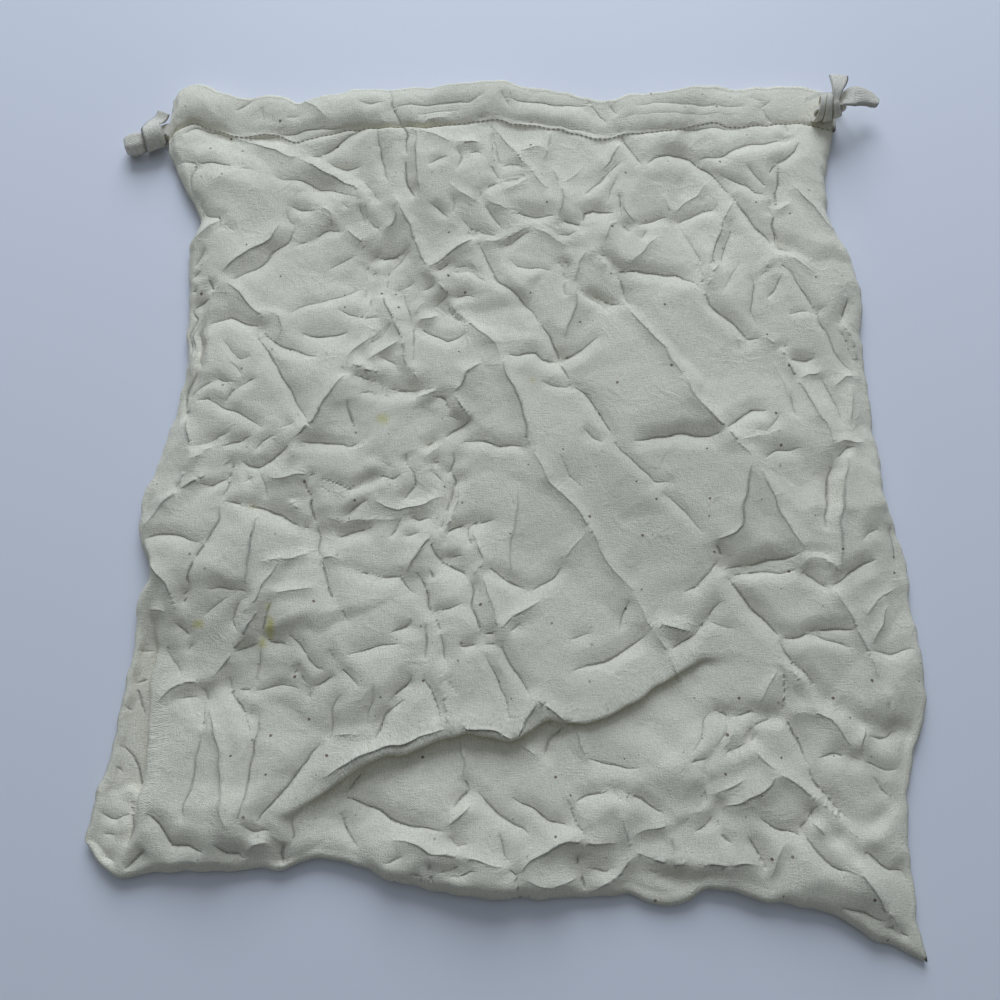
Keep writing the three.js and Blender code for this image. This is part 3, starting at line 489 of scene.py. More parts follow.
    "right of the middle": """
2.2 4 5 69,98 74,90 80,82 85,76 91,68 95,60 101,50
2.4 4 9 101,50 106,40 113,30 122,20 126,15 132,7 139,-2
-3.4 8 4 72,13 82,15 93,16 104,16 113,16 120,18
-3.2 7 4 120,18 126,22 132,27 139,30 148,30
-3 3 4 113,120 115,110 117,102 120,95 127,88 134,80 139,74 146,74
1.8 5 118,104 120,113 125,122
-1 5 127,104 132,114 137,122
-1.8 3.5 144,81 143,92 144,103 144,110 149,114 158,120
-2 9 160,112 156,104 152,98
-2.4 3.5 159,122 166,113 171,104 180,92 182,83 188,66 198,54
-1.4 3 164,88 171,91 179,92 184,93
-3 3 198,100 196,92 194,86 192,83
2 4 195,86 198,79 200,70 202,62
-2 3 193,81 196,72 198,64 203,62
-2.2 3 154,70 157,68 161,69
2.4 7 5 147,76 154,70 158,66 160,59 164,52 169,42 178,22 180,10
-2.6 3 160,61 166,62 171,62 176,64
-1.8 5 3 178,54 181,44 186,34 190,22
1.4 3 166,50 171,54 176,54 181,52
1.5 4 186,46 192,52 202,54
-1.8 3 160,40 162,32 164,27
1 3 152,60 156,50 159,40
1.8 3 180,10 186,13 193,12 198,13
-2.2 3 182,2 186,8 192,10
1.4 6 196,48 195,37 193,22
-1.8 4 137,18 144,17 151,24 154,28
1.2 3 130,13 137,14 152,18
-1.8 6 142,2 148,6 156,7 162,10
-1.2 6 133,73 135,66
-1.8 2.5 60,16 64,10 74,0 80,-6 83,-10 88,-10 94,-12
-1.6 2.5 88,-16 93,-22 100,-28 107,-38
3.2 10 12 137,3 133,-10 130,-23 128,-35 124,-38 114,-42
-3 3 114,-43 116,-48 118,-55 120,-60
-3.6 8 5 120,-57 130,-56 140,-54 150,-52 157,-49
-2.4 4 3 122,-62 130,-60 139,-60 148,-60 156,-57
-3.4 4 3 120,-60 125,-69 130,-78 136,-84 144,-93
-3.2 3 5 144,-93 154,-93 159,-92 166,-90 173,-90 183,-90
-1.8 4 3 159,-92 170,-96 181,-99
-2.2 3 4 157,-57 162,-62 168,-66 173,-68
2 4 175,-69 182,-84 186,-94 191,-104 194,-114
-3 3 5 174,-68 179,-65 183,-60 190,-56 198,-52
1.8 3 157,-56 160,-52 167,-52 173,-55 178,-60
-2 2.5 162,-50 168,-50 172,-51
2.2 6 9 139,0 144,-15 149,-28 154,-38 160,-46
-3.4 3 4 180,4 178,-6 176,-16 174,-26 172,-38
2.8 9 4 188,4 186,-8 183,-22 180,-34 179,-47 178,-58
-1.3 3 191,-43 196,-38 203,-35
-2 3 210,-32 210,-43 210,-53
1.5 4 190,-82 198,-74 208,-66
1.8 5 192,-96 198,-87 204,-74
-1.8 8 4 191,-100 201,-101 214,-100
-2.2 10 5 96,-69 104,-66 112,-59 116,-52
-0.9 4 106,-84 115,-87 122,-90
""",
    "left, below the middle": """
2.2 6 12 -170,10 -168,4 -169,-1 -172,-7 -172,-14
-2.2 2.5 -172,-10 -173,-16
3.4 9 7 -191,-34 -183,-25 -175,-18 -165,-10 -155,-3 -147,3
-2.8 5 6 -191,-41 -185,-40 -175,-39 -167,-41 -159,-43
2.2 4 -190,-46 -185,-54 -179,-61 -174,-66 -170,-72 -167,-80
-1.8 6 -165,-66 -164,-76
-2.2 3 -169,-84 -165,-89 -162,-93
-1.3 3 -163,-101 -160,-96
-1.4 3 -174,-99 -168,-106 -164,-113
1.4 3 -182,-78 -173,-80
-1.8 5 -190,-100 -182,-99
-2.6 4 -189,-117 -182,-114
-2.4 3 -145,2 -146,-6 -146,-15 -148,-21
-2.6 3 4 -160,-6 -154,-2 -149,1 -144,2
-2.2 5 -162,-10 -155,-11 -147,-8
-2 2.5 -137,-10 -134,-8
-1.6 4 -129,-6 -126,-14 -124,-20
1.6 4 -123,-9 -115,-8 -109,-6 -104,-6
-3.2 7 3 -105,-9 -104,-14 -101,-20 -99,-27 -97,-34
-2.8 4 -97,-34 -96,-42 -96,-50 -93,-58 -90,-66 -86,-74 -78,-86
-2.2 2.5 -104,-7 -100,-6
1.4 3 -112,9 -114,0
-2.2 4 3 -147,-22 -137,-23 -132,-23
-3.4 3 4 -134,-22 -130,-25 -122,-26 -115,-29 -110,-32 -105,-34
-2 4 -105,-34 -100,-36
1.8 3 -112,-20 -106,-25
-1.5 3 -113,-19 -109,-20 -104,-20
-3.4 12 8 -149,-25 -150,-33 -153,-40 -157,-46 -161,-54 -163,-62 -164,-80
2.8 9 13 -127,-29 -130,-33 -131,-42 -132,-54 -132,-66
1.8 4 -125,-54 -117,-53 -109,-52 -100,-50
2.2 3 -116,-54 -119,-60 -123,-66 -125,-70 -127,-75 -132,-80
1.6 3 -122,-70 -111,-70 -96,-70
-2 6 -152,-70 -146,-68 -138,-69 -130,-71
-2 3 -132,-73 -136,-78 -138,-85 -136,-91
-1.3 4 -153,-83 -147,-77 -141,-72
-2.8 3 7 -120,-72 -119,-77 -122,-90 -123,-94
-2.6 3 -123,-91 -119,-95 -114,-96 -110,-98
3.2 8 9 -121,-74 -127,-83 -133,-92 -138,-99 -141,-104 -149,-115
-2.4 4 -138,-101 -132,-98 -126,-96
-1.8 7 -124,-98 -125,-108 -126,-118
2.4 8 5 -175,-124 -170,-120 -161,-117 -151,-116 -147,-114
-2.6 5 4 -97,-9 -90,-12 -82,-14 -73,-10 -65,-5
-1.8 5 -98,-12 -90,-19 -83,-22
-2.2 4 -82,-30 -77,-23 -71,-19
1.3 3 -91,-31 -80,-31 -67,-30 -55,-30
-2.8 3 4 -87,-40 -80,-38 -73,-36 -68,-34
1.8 4 -96,-54 -89,-51 -84,-52
-2 3.5 -109,-92 -104,-98 -100,-103 -95,-108 -90,-110
-2 3 -88,-100 -85,-106 -80,-111 -72,-119
-2 4 -106,-114 -103,-109
-2 3 -103,-112 -98,-119 -95,-125
-2 3 -96,-118 -90,-116 -85,-113
""",
    "star left of the middle, below": """
3.4 10 8 -33,-38 -37,-41 -42,-47 -46,-53 -50,-60
-3.8 5 4 -35,-39 -36,-44 -34,-49 -30,-53 -24,-57 -19,-60 -16,-64
-3.2 4 3 -31,-44 -29,-40 -27,-36 -23,-34 -16,-33 -10,-32 -4,-30
-2.6 3 -16,-34 -16,-39 -14,-45
2.2 4 -14,-35 -11,-44 -9,-50 -10,-55 -14,-61 -15,-64
-1.8 4 -30,-50 -20,-50
-3.2 3.5 -16,-64 -14,-70 -15,-77 -12,-83 -11,-89 -9,-94 -7,-101
-1.8 3 -7,-101 -4,-110 2,-125 5,-135
-2.2 3 -10,-93 -4,-92 -1,-91
-2.4 3 -20,-99 -15,-98 -11,-98
-1.8 4 -9,-98 0,-97
1.8 4 -10,-60 -7,-70 -3,-81 -1,-89 0,-96
-2.6 3 0,-96 4,-104 9,-112 15,-123
2.2 5 6 0,-90 7,-83 14,-78 20,-74
-1.5 4 5,-91 11,-86
-2.6 3.5 -8,-56 -4,-59 2,-63 7,-66 12,-68 14,-70
-2 7 4 13,-70 20,-66 28,-62 35,-54
2 4 17,10 21,2 27,-9 34,-17 40,-25 46,-33 50,-40 60,-57 70,-69
1.5 4 70,-69 76,-84 80,-91 86,-100 90,-109 97,-119 104,-127
-1.4 10 33,6 37,-6 45,-14
1.3 8 46,-36 40,-46 33,-56
1.8 10 10,-10 8,-30 6,-50 4,-60
-3 3 -55,-91 -51,-90 -47,-89 -46,-86
-2.4 3.5 -85,-55 -74,-59 -60,-62 -53,-62 -50,-66 -47,-70 -43,-72
-3.2 5 4 -45,-60 -40,-66 -38,-70 -37,-76 -35,-80 -33,-85 -30,-92
-2.2 5 4 -30,-92 -28,-100 -28,-108
-2.2 3 -37,-58 -35,-62
-2 5 -35,-79 -26,-79 -20,-77
-2.8 3.5 -39,-86 -37,-94 -37,-99 -38,-104
-2.2 7 4 -80,-103 -68,-100 -58,-98 -50,-98
-2.8 9 5 38,-111 46,-108 55,-106 62,-101 69,-97 78,-91
-2 7 62,-90 64,-80 68,-73
-1.2 6 35,-95 48,-91
2.6 7 4 80,-92 84,-88 91,-88 101,-90
-2.8 3 4 88,-100 93,-96 101,-91 107,-84 115,-74
""",
    "lower left": """
-2.6 3 -189,-116 -186,-124 -183,-132
-2 3 -193,-128 -190,-130
-3 4 -194,-148 -192,-148 -188,-152 -184,-158 -181,-166 -180,-170
-2.2 4 -195,-158 -192,-160
1.8 3 -186,-174 -184,-169 -182,-174
-2.4 3.5 -184,-170 -183,-178 -182,-186 -184,-195
-1.8 4 -200,-180 -192,-184 -185,-180
-1.2 3 -198,-190 -191,-191
-3.2 4 -184,-206 -180,-202 -175,-198
-1.8 3 -202,-197 -197,-201 -190,-203
-3 3.5 -153,-116 -150,-121 -151,-130 -150,-140
2.4 5 -150,-125 -145,-138 -141,-150 -139,-165 -136,-178 -133,-187
-2.2 4 8 -151,-140 -153,-155 -154,-170 -156,-185
-1.5 4 -165,-125 -155,-124
-2.6 3 -140,-113 -136,-122 -132,-128 -129,-134 -126,-142
-1.8 3 -129,-132 -123,-132
-2.6 3 5 -123,-130 -122,-140 -124,-150 -126,-166 -126,-180 -128,-186
-1.7 4 -137,-119 -125,-120 -112,-118 -101,-121
-2 3 -81,-123 -84,-130 -85,-143 -86,-145
1.4 3 -84,-143 -77,-142 -70,-143
-3.2 8 12 -90,-147 -99,-157 -105,-166 -111,-175 -118,-186
-1.8 3 -102,-180 -101,-190 -102,-195
-1.3 3 -128,-185 -120,-190 -112,-189
2.2 4 -125,-199 -121,-196 -114,-195
-3.4 4 -106,-193 -108,-199 -107,-204
-3.4 5 6 -174,-181 -168,-186 -164,-192 -161,-195 -153,-196 -145,-198
-3.2 3 6 -140,-195 -135,-198 -129,-199 -126,-202
""",
    "ledge and the cloth beneath it": """
3.4 14 4 -87,-163 -80,-158 -66,-152 -50,-147 -40,-143 -32,-142 -26,-140
3.4 14 4 -26,-140 -18,-139 -15,-141 -8,-140 0,-141 7,-144
-3.6 3.5 -45,-113 -48,-118 -53,-123 -56,-128
-2.4 4 -48,-125 -53,-130 -57,-134 -60,-140 -63,-146
-2.4 4 3 -40,-113 -36,-120 -32,-128 -29,-136
1.8 5 -31,-110 -29,-123 -26,-135 -23,-139
-1.5 5 -28,-115 -23,-123
-1.5 3 -65,-118 -64,-128 -67,-139
1.8 4 -20,-142 -20,-150 -18,-155 -18,-164
3 5 8 10,-144 13,-134 18,-126 24,-131 34,-136
-2.8 3 34,-136 26,-146 21,-156
1.4 3 10,-145 20,-156
1.8 4 36,-136 40,-143 44,-153
-2.2 14 8 44,-154 60,-158 70,-160
-2.6 3 5 37,-175 43,-172 53,-170
-2 3 33,-175 39,-188 42,-192
-2.4 3 54,-166 58,-171 62,-175
1.8 4 60,-180 62,-190 64,-199
-2.8 4 3 -12,-170 -6,-176 0,-181 6,-185 11,-188 14,-192
-2.4 5 4 5,-172 14,-178 24,-184 36,-187
-3.2 4 -18,-164 -16,-170 -20,-175 -24,-179
2.6 5 -26,-187 -21,-183 -15,-177
-3.2 9 6 -80,-172 -70,-176 -60,-180 -50,-184 -43,-187 -35,-188 -27,-189
-2 4 -78,-171 -74,-167 -69,-160
-2.2 6 -80,-180 -75,-188 -70,-197
2.8 6 5 -51,-192 -45,-193 -38,-196 -33,-199 -18,-201 -10,-202 3,-205
-2.8 3 -34,-203 -34,-210 -32,-215
-2.2 4 -30,-208 -24,-208 -19,-204 -16,-202
-2 4 -24,-210 -18,-209 -12,-207
-2.4 3 -44,-209 -39,-210
-1.8 5 -56,-203 -47,-200
-1.8 3 -24,-192 -20,-196 -15,-195
-2 5 -1,-189 3,-198 6,-204
-3.2 3 4,-205 8,-210 8,-218
3.2 6 7 10,-209 15,-204 20,-200 26,-196 33,-193 46,-194 57,-194
1.6 4 12,-212 25,-215 38,-210
-3.2 3 38,-199 40,-207 42,-216
2.8 6 5 43,-217 50,-214 60,-209 63,-205 64,-200
-2.2 5 44,-205 53,-208 59,-206
""",
    "lower right": """
-2.6 3 108,-129 113,-132 118,-136
-3 3 5 118,-134 126,-132 132,-132 139,-132 144,-132
-1.8 3 144,-132 137,-134 130,-138 126,-141 124,-148
-2.4 4 129,-142 126,-147
-1.5 5 107,-130 103,-136 101,-145 97,-152
-3.2 4 116,-136 112,-145 107,-152 104,-160 102,-170 103,-176
1.8 4 119,-137 114,-147 108,-156 106,-163
-2.2 4 91,-160 98,-156 106,-153
-2.6 3 5 105,-158 113,-152 122,-148 125,-148
2.2 4 125,-149 132,-155 144,-163 151,-170 164,-180 176,-192
2 4 104,-175 107,-172 115,-168 122,-165
-2.4 3 106,-172 108,-176 112,-176
2.8 9 6 110,-177 120,-176 129,-171 136,-165 140,-159
-2.4 3 5 128,-182 135,-186 142,-189 148,-192
-2.8 3 107,-189 108,-184 110,-180 110,-177
-2 3 107,-189 110,-192 114,-195
-2.2 3 107,-180 102,-185 96,-189
2 4 104,-178 96,-180 91,-182 85,-185 73,-188 66,-192
-2.2 3 84,-184 88,-186 93,-183
1.4 4 84,-186 85,-197
-2.8 3.5 58,-168 62,-170 68,-174 74,-177 81,-180
1.2 3 96,-163 100,-167
-2 10 71,-136 82,-144 91,-152 98,-149
3.6 10 3 62,-200 74,-201 86,-204 98,-204 112,-205 127,-204
-2.6 5 72,-206 84,-210 97,-212 110,-209
-2.8 3 80,-206 88,-210 91,-216
2 4 91,-219 98,-214 103,-212
-3 3 122,-192 126,-198 130,-207
1.5 4 132,-209 135,-201 139,-194
-3.2 3 144,-107 146,-121 144,-132 147,-140 150,-148 154,-158
-3 3 154,-158 159,-168 164,-175 168,-180 174,-185 179,-185
-2.8 5 3 144,-93 146,-100 151,-106 157,-114 164,-123 171,-127
-2.8 4 171,-127 179,-131 184,-136 190,-137 198,-139 203,-138
1.8 4 146,-106 156,-120 160,-130
1.5 5 141,-110 136,-121 132,-128
2.2 3 146,-132 154,-132 162,-132 168,-136 173,-144 179,-152
-1.8 4 150,-118 156,-127
-2.8 3 186,-143 192,-144 198,-142 203,-138
-2.6 4 203,-138 208,-141 211,-144
2.2 4 185,-138 182,-145 180,-150
-3.6 3.5 174,-153 179,-154 182,-155
-2.6 3 5 160,-154 168,-152 174,-154
-2 3 6 182,-155 190,-158 201,-160
-1.8 5 186,-162 192,-168 198,-174
-2 5 4 181,-186 188,-182 195,-177 201,-175
2.2 4 167,-196 176,-196 184,-192 192,-189
-3.6 3 5 164,-192 170,-197 178,-198 184,-202 191,-207 198,-209
-2.8 3 158,-176 154,-180 152,-184 149,-187 150,-192
-2.8 3 150,-192 154,-198 159,-204 164,-207 172,-208
1.8 3 154,-184 157,-188 160,-192
-2.2 3 160,-192 166,-192 170,-188
2.8 5 6 171,-204 176,-211 182,-218 186,-224 192,-230 193,-234
-3.6 7 166,-224 178,-226 188,-230
-2.6 3 186,-232 192,-236 198,-238
1.5 4 196,-120 198,-126 202,-136
""",
}


@dataclass(frozen=True)
class Facets:
    """One scale of the crumple: flat facets between creases at random places.

    Attributes:
        size: Distance between the facets' corners, in mm.
        height: Spread of the corners' heights, in mm.
        seed: Seed of the random places and heights.
    """

    size: float
    height: float
    seed: int

    def tree(self, low: Sequence[float], high: Sequence[float]) -> BVHTree:
        """Build the facets over a rectangle of the chart.

        Args:
            low: Its lower left corner.
            high: Its upper right corner.

        Returns:
            A tree of triangles whose heights are the facets' heights.
        """
        random = np.random.default_rng(self.seed)
        xs = np.arange(low[0] - self.size, high[0] + 2 * self.size, self.size)
        ys = np.arange(low[1] - self.size, high[1] + 2 * self.size, self.size)
        grid = np.stack(np.meshgrid(xs, ys, indexing="ij"), -1).reshape(-1, 2)
        places = grid + random.uniform(-0.45, 0.45, grid.shape) * self.size
        heights = random.uniform(-1, 1, len(places)) * self.height
        corners = [Vector(place) for place in places]
        made = delaunay_2d_cdt(corners, [], [], 0, 1e-6)
        points = [
            (flat.x, flat.y, float(heights[origin[0]]) if origin else 0.0)
            for flat, origin in zip(made[0], made[3])
        ]
        return BVHTree.FromPolygons(points, made[2])


CRUMPLE = (Facets(62, 5.2, 10), Facets(31, 2.7, 11), Facets(15, 0.55, 12), Facets(7, 0.1, 13))


def smoothstep(value: Values, low: float, high: float) -> Array:
    """Return 0 below low, 1 above high and a smooth rise between them."""
    t = np.clip((value - low) / (high - low), 0, 1)
    return t * t * (3 - 2 * t)


def lerp(start: Values, end: Values, share: Values) -> Array:
    """Return the value at a share of the way from start to end."""
    return start + (end - start) * share


def bell(distance: Values, reach: float) -> Array:
    """Return a bell curve: 1 at no distance, dying out over the reach."""
    return np.exp(-((distance / reach) ** 2))


def waver(at: Values, seed: int, longest: float) -> Array:
    """Return an uneven wave of height one along a line.

    Args:
        at: Places along the line, in mm.
        seed: Seed of its uneven waves.
        longest: Length of the longest wave, in mm.
    """
    random = np.random.default_rng(seed)
    total = np.zeros(np.shape(at))
    for k in range(4):
        wave = at / (longest * random.uniform(0.75, 1) / 1.6**k) + random.uniform()
        total += np.sin(math.tau * wave) / 1.35**k
    return total / 1.8


def around(grid: Array) -> list[Array]:
    """Return a grid shifted by one step each way, and the grid itself."""
    padded = np.pad(grid, 1, mode="edge")
    wide, high = grid.shape
    return [padded[i : i + wide, j : j + high] for i in range(3) for j in range(3)]


def to_row(points: Array) -> Array:
    """Turn points of the chart in millimetres into the row's frame in metres."""
    return (np.asarray(points, float) - CHART_MIDDLE) * MM


def unit(vectors: Array) -> Array:
    """Return the vectors at length one."""
    return vectors / np.maximum(np.linalg.norm(vectors, axis=-1, keepdims=True), 1e-9)


@dataclass
class Stations:
    """Stations along one direction of a sheet: before a lap, in it and after it.

    Attributes:
        kind: 0 before the lap, 1 in it, 2 after it.
        part: Share of the way before or after the lap.
        spread: Place in the lap while the cloth is spread, in mm.
    """

    kind: Array
    part: Array
    spread: Array

    @classmethod
    def laid(cls, before: int, lap: int, after: int) -> Stations:
        """Lay out stations.

        Args:
            before: Number of steps before the lap.
            lap: Number of steps across it.
            after: Number of steps after it.

        Returns:
            The stations, before + lap + after + 1 of them.
        """
        kind = np.repeat([0, 1, 2], [before, lap + 1, after])
        parts = [np.arange(before) / before, np.zeros(lap + 1), np.arange(1, after + 1) / after]
        through = np.linspace(-LAP_HALF, LAP_HALF, lap + 1)
        spread = np.concatenate([np.zeros(before), through, np.zeros(after)])
        return cls(kind, np.concatenate(parts), spread)

    def along(self, axis: int) -> Stations:
        """Return the same stations as a column or a row of a grid."""
        shape = (-1, 1) if axis == 0 else (1, -1)
        return Stations(*(values.reshape(shape) for values in (self.kind, self.part, self.spread)))

    def at(self, start: Array, line: Array, end: Array) -> Array:
        """Place the stations while the cloth is spread, between two edges and round a lap's line."""
        before = lerp(start, line - LAP_HALF, self.part)
        after = lerp(line + LAP_HALF, end, self.part)
        return np.where(self.kind == 0, before, np.where(self.kind == 2, after, line + self.spread))

    def across(self, up: Array) -> Array:
        """Return x of these columns from the share of the way up."""
        return self.at(*(SIDES.read(key, up) for key in ("left", "lap", "right")))

    def shift(self, share: Array) -> Array:
        """Return how far the lap moves the cloth along the sheet, at the given share of lapping."""
        moved = LAP.read("lapped", self.spread) - self.spread
        return np.where(self.kind == 1, moved * np.clip(share, 0, 1), 0)

    def rise(self) -> Array:
        """Return how much of the lap's step each station has climbed."""
        return np.where(self.kind == 1, LAP.read("rise", self.spread), self.kind / 2)


@dataclass
class Place:
    """Places on the chart with their shares of the way across and up the bag."""

    x: Array
    y: Array
    across: Array
    up: Array

    @property
    def from_left(self) -> Array:
        """Distance from the left edge, in mm."""
        return self.x - SIDES.read("left", self.up)

    @property
    def from_right(self) -> Array:
        """Distance from the right edge, in mm."""
        return SIDES.read("right", self.up) - self.x

    @property
    def from_foot(self) -> Array:
        """Distance from the foot, in mm."""
        return self.y - ENDS.read("bottom", self.across)

    @property
    def depth(self) -> Array:
        """Depth below the mouth edge, in mm."""
        return ENDS.read("top", self.across) - self.y


@dataclass
class Folds:
    """What the creases and the crumple do at places on the chart.

    Attributes:
        height: Height of the relief, in mm.
        beside: Distance to the nearest crease's line, negative on its right, in mm.
        sharp: Height of the sharp edge on that line, in mm.
    """

    height: Array
    beside: Array
    sharp: Array


class Relief:
    """The creases and the crumple of the front as one height over the chart."""

    crumpled = ((-215, -255), (225, 260))  # corners of the part of the chart that is crumpled
    edge_reach = 3.4  # how far a crease's sharp edge shows
    edge_share = 0.5  # share of the height that the sharp edge has
    slope_share = 0.82  # share of the height that the slopes have
    end_share = 0.2  # share of the slopes' height left at a crease's ends
    narrowest = 4.5  # least reach of a slope
    gentlest = 2.4  # least reach of a slope for each mm of height
    left_strength = 1.15  # how strong the crumple is at the left
    right_strength = 0.85

    def __init__(self, creases: Sequence[Crease], crumple: Sequence[Facets]) -> None:
        """Keep the creases and lay out the facets."""
        self.creases = creases
        self.trees = [facets.tree(*self.crumpled) for facets in crumple]

    def reach(self, crease: Crease, listed: float) -> float:
        """Return a slope's listed reach, or the least for the crease's height."""
        return max(listed, self.narrowest, self.gentlest * abs(crease.height))

    def crease_folds(self, crease: Crease, x: Array, y: Array) -> Folds:
        """Return what one crease does at flat arrays of places."""
        line = crease.line
        lengths = np.linalg.norm(np.diff(line, axis=0), axis=1)
        starts = np.concatenate([[0], np.cumsum(lengths)])
        near = np.full(x.shape, np.inf)
        side = np.zeros(x.shape)
        along = np.zeros(x.shape)
        for i, length in enumerate(lengths):
            run = (line[i + 1] - line[i]) / length
            dx = x - line[i, 0]
            dy = y - line[i, 1]
            reach = np.clip(dx * run[0] + dy * run[1], 0, length)
            ex = dx - reach * run[0]
            ey = dy - reach * run[1]
            distance = np.hypot(ex, ey)
            closer = distance < near
            near = np.where(closer, distance, near)
            side = np.where(closer, run[0] * ey - run[1] * ex, side)
            along = np.where(closer, (starts[i] + reach) / starts[-1], along)
        width = np.where(side > 0, self.reach(crease, crease.left), self.reach(crease, crease.right))
        distance = np.sqrt(near**2 + CREASE_SOFT**2) - CREASE_SOFT
        share = np.clip(1 - distance / width, 0, 1) ** CREASE_POWER
        ends = np.sqrt(np.clip(np.sin(np.pi * along), 0, 1))
        height = crease.height * self.slope_share * share * lerp(self.end_share, 1, ends)
        sharp = crease.height * self.edge_share * ends * np.clip(1.4 * (1 - near / self.edge_reach), 0, 1)
        return Folds(height, np.where(side > 0, near, -near), sharp)

    def at(self, x: Array, y: Array) -> Folds:
        """Return the relief at places on the chart.

        Args:
            x: Places across, in mm.
            y: Places up, in mm.

        Returns:
            The folds there, in arrays of the same shape.
        """
        flat_x, flat_y = x.ravel(), y.ravel()
        total = np.zeros(flat_x.shape)
        beside = np.full(flat_x.shape, 99.0)
        sharp = np.zeros(flat_x.shape)
        which = np.full(flat_x.shape, -1)
        for number, crease in enumerate(self.creases):
            reach = self.reach(crease, max(crease.left, crease.right)) + 2
            low, high = crease.line.min(0) - reach, crease.line.max(0) + reach
            inside = (flat_x > low[0]) & (flat_x < high[0]) & (flat_y > low[1]) & (flat_y < high[1])
            folds = self.crease_folds(crease, flat_x[inside], flat_y[inside])
            total[inside] += folds.height
            closer = np.abs(folds.beside) < np.abs(beside[inside])
            which[inside] = np.where(closer, number, which[inside])
            beside[inside] = np.where(closer, folds.beside, beside[inside])
            sharp[inside] = np.where(closer, folds.sharp, sharp[inside])
        strength = lerp(self.left_strength, self.right_strength, smoothstep(flat_x, -80, 60))
        for tree in self.trees:
            total += self.facet_heights(tree, flat_x, flat_y) * strength
        total, beside, sharp, which = (values.reshape(x.shape) for values in (total, beside, sharp, which))
        # An edge is drawn only where no neighbour lies on the other side of another crease
        for other, near in zip(around(which), around(beside)):
            sharp = np.where((other != which) & (near * beside < 0), 0, sharp)
        return Folds(total, beside, sharp)

    @staticmethod
    def facet_heights(tree: BVHTree, x: Array, y: Array) -> Array:
        """Return the heights of one scale of facets at flat arrays of places."""
        down = Vector((0, 0, -1))
        heights = np.zeros(x.shape)
        for i, (px, py) in enumerate(zip(x.tolist(), y.tolist())):
            hit = tree.ray_cast(Vector((px, py, 50)), down)[0]
            heights[i] = hit.z if hit else 0.0
        return heights


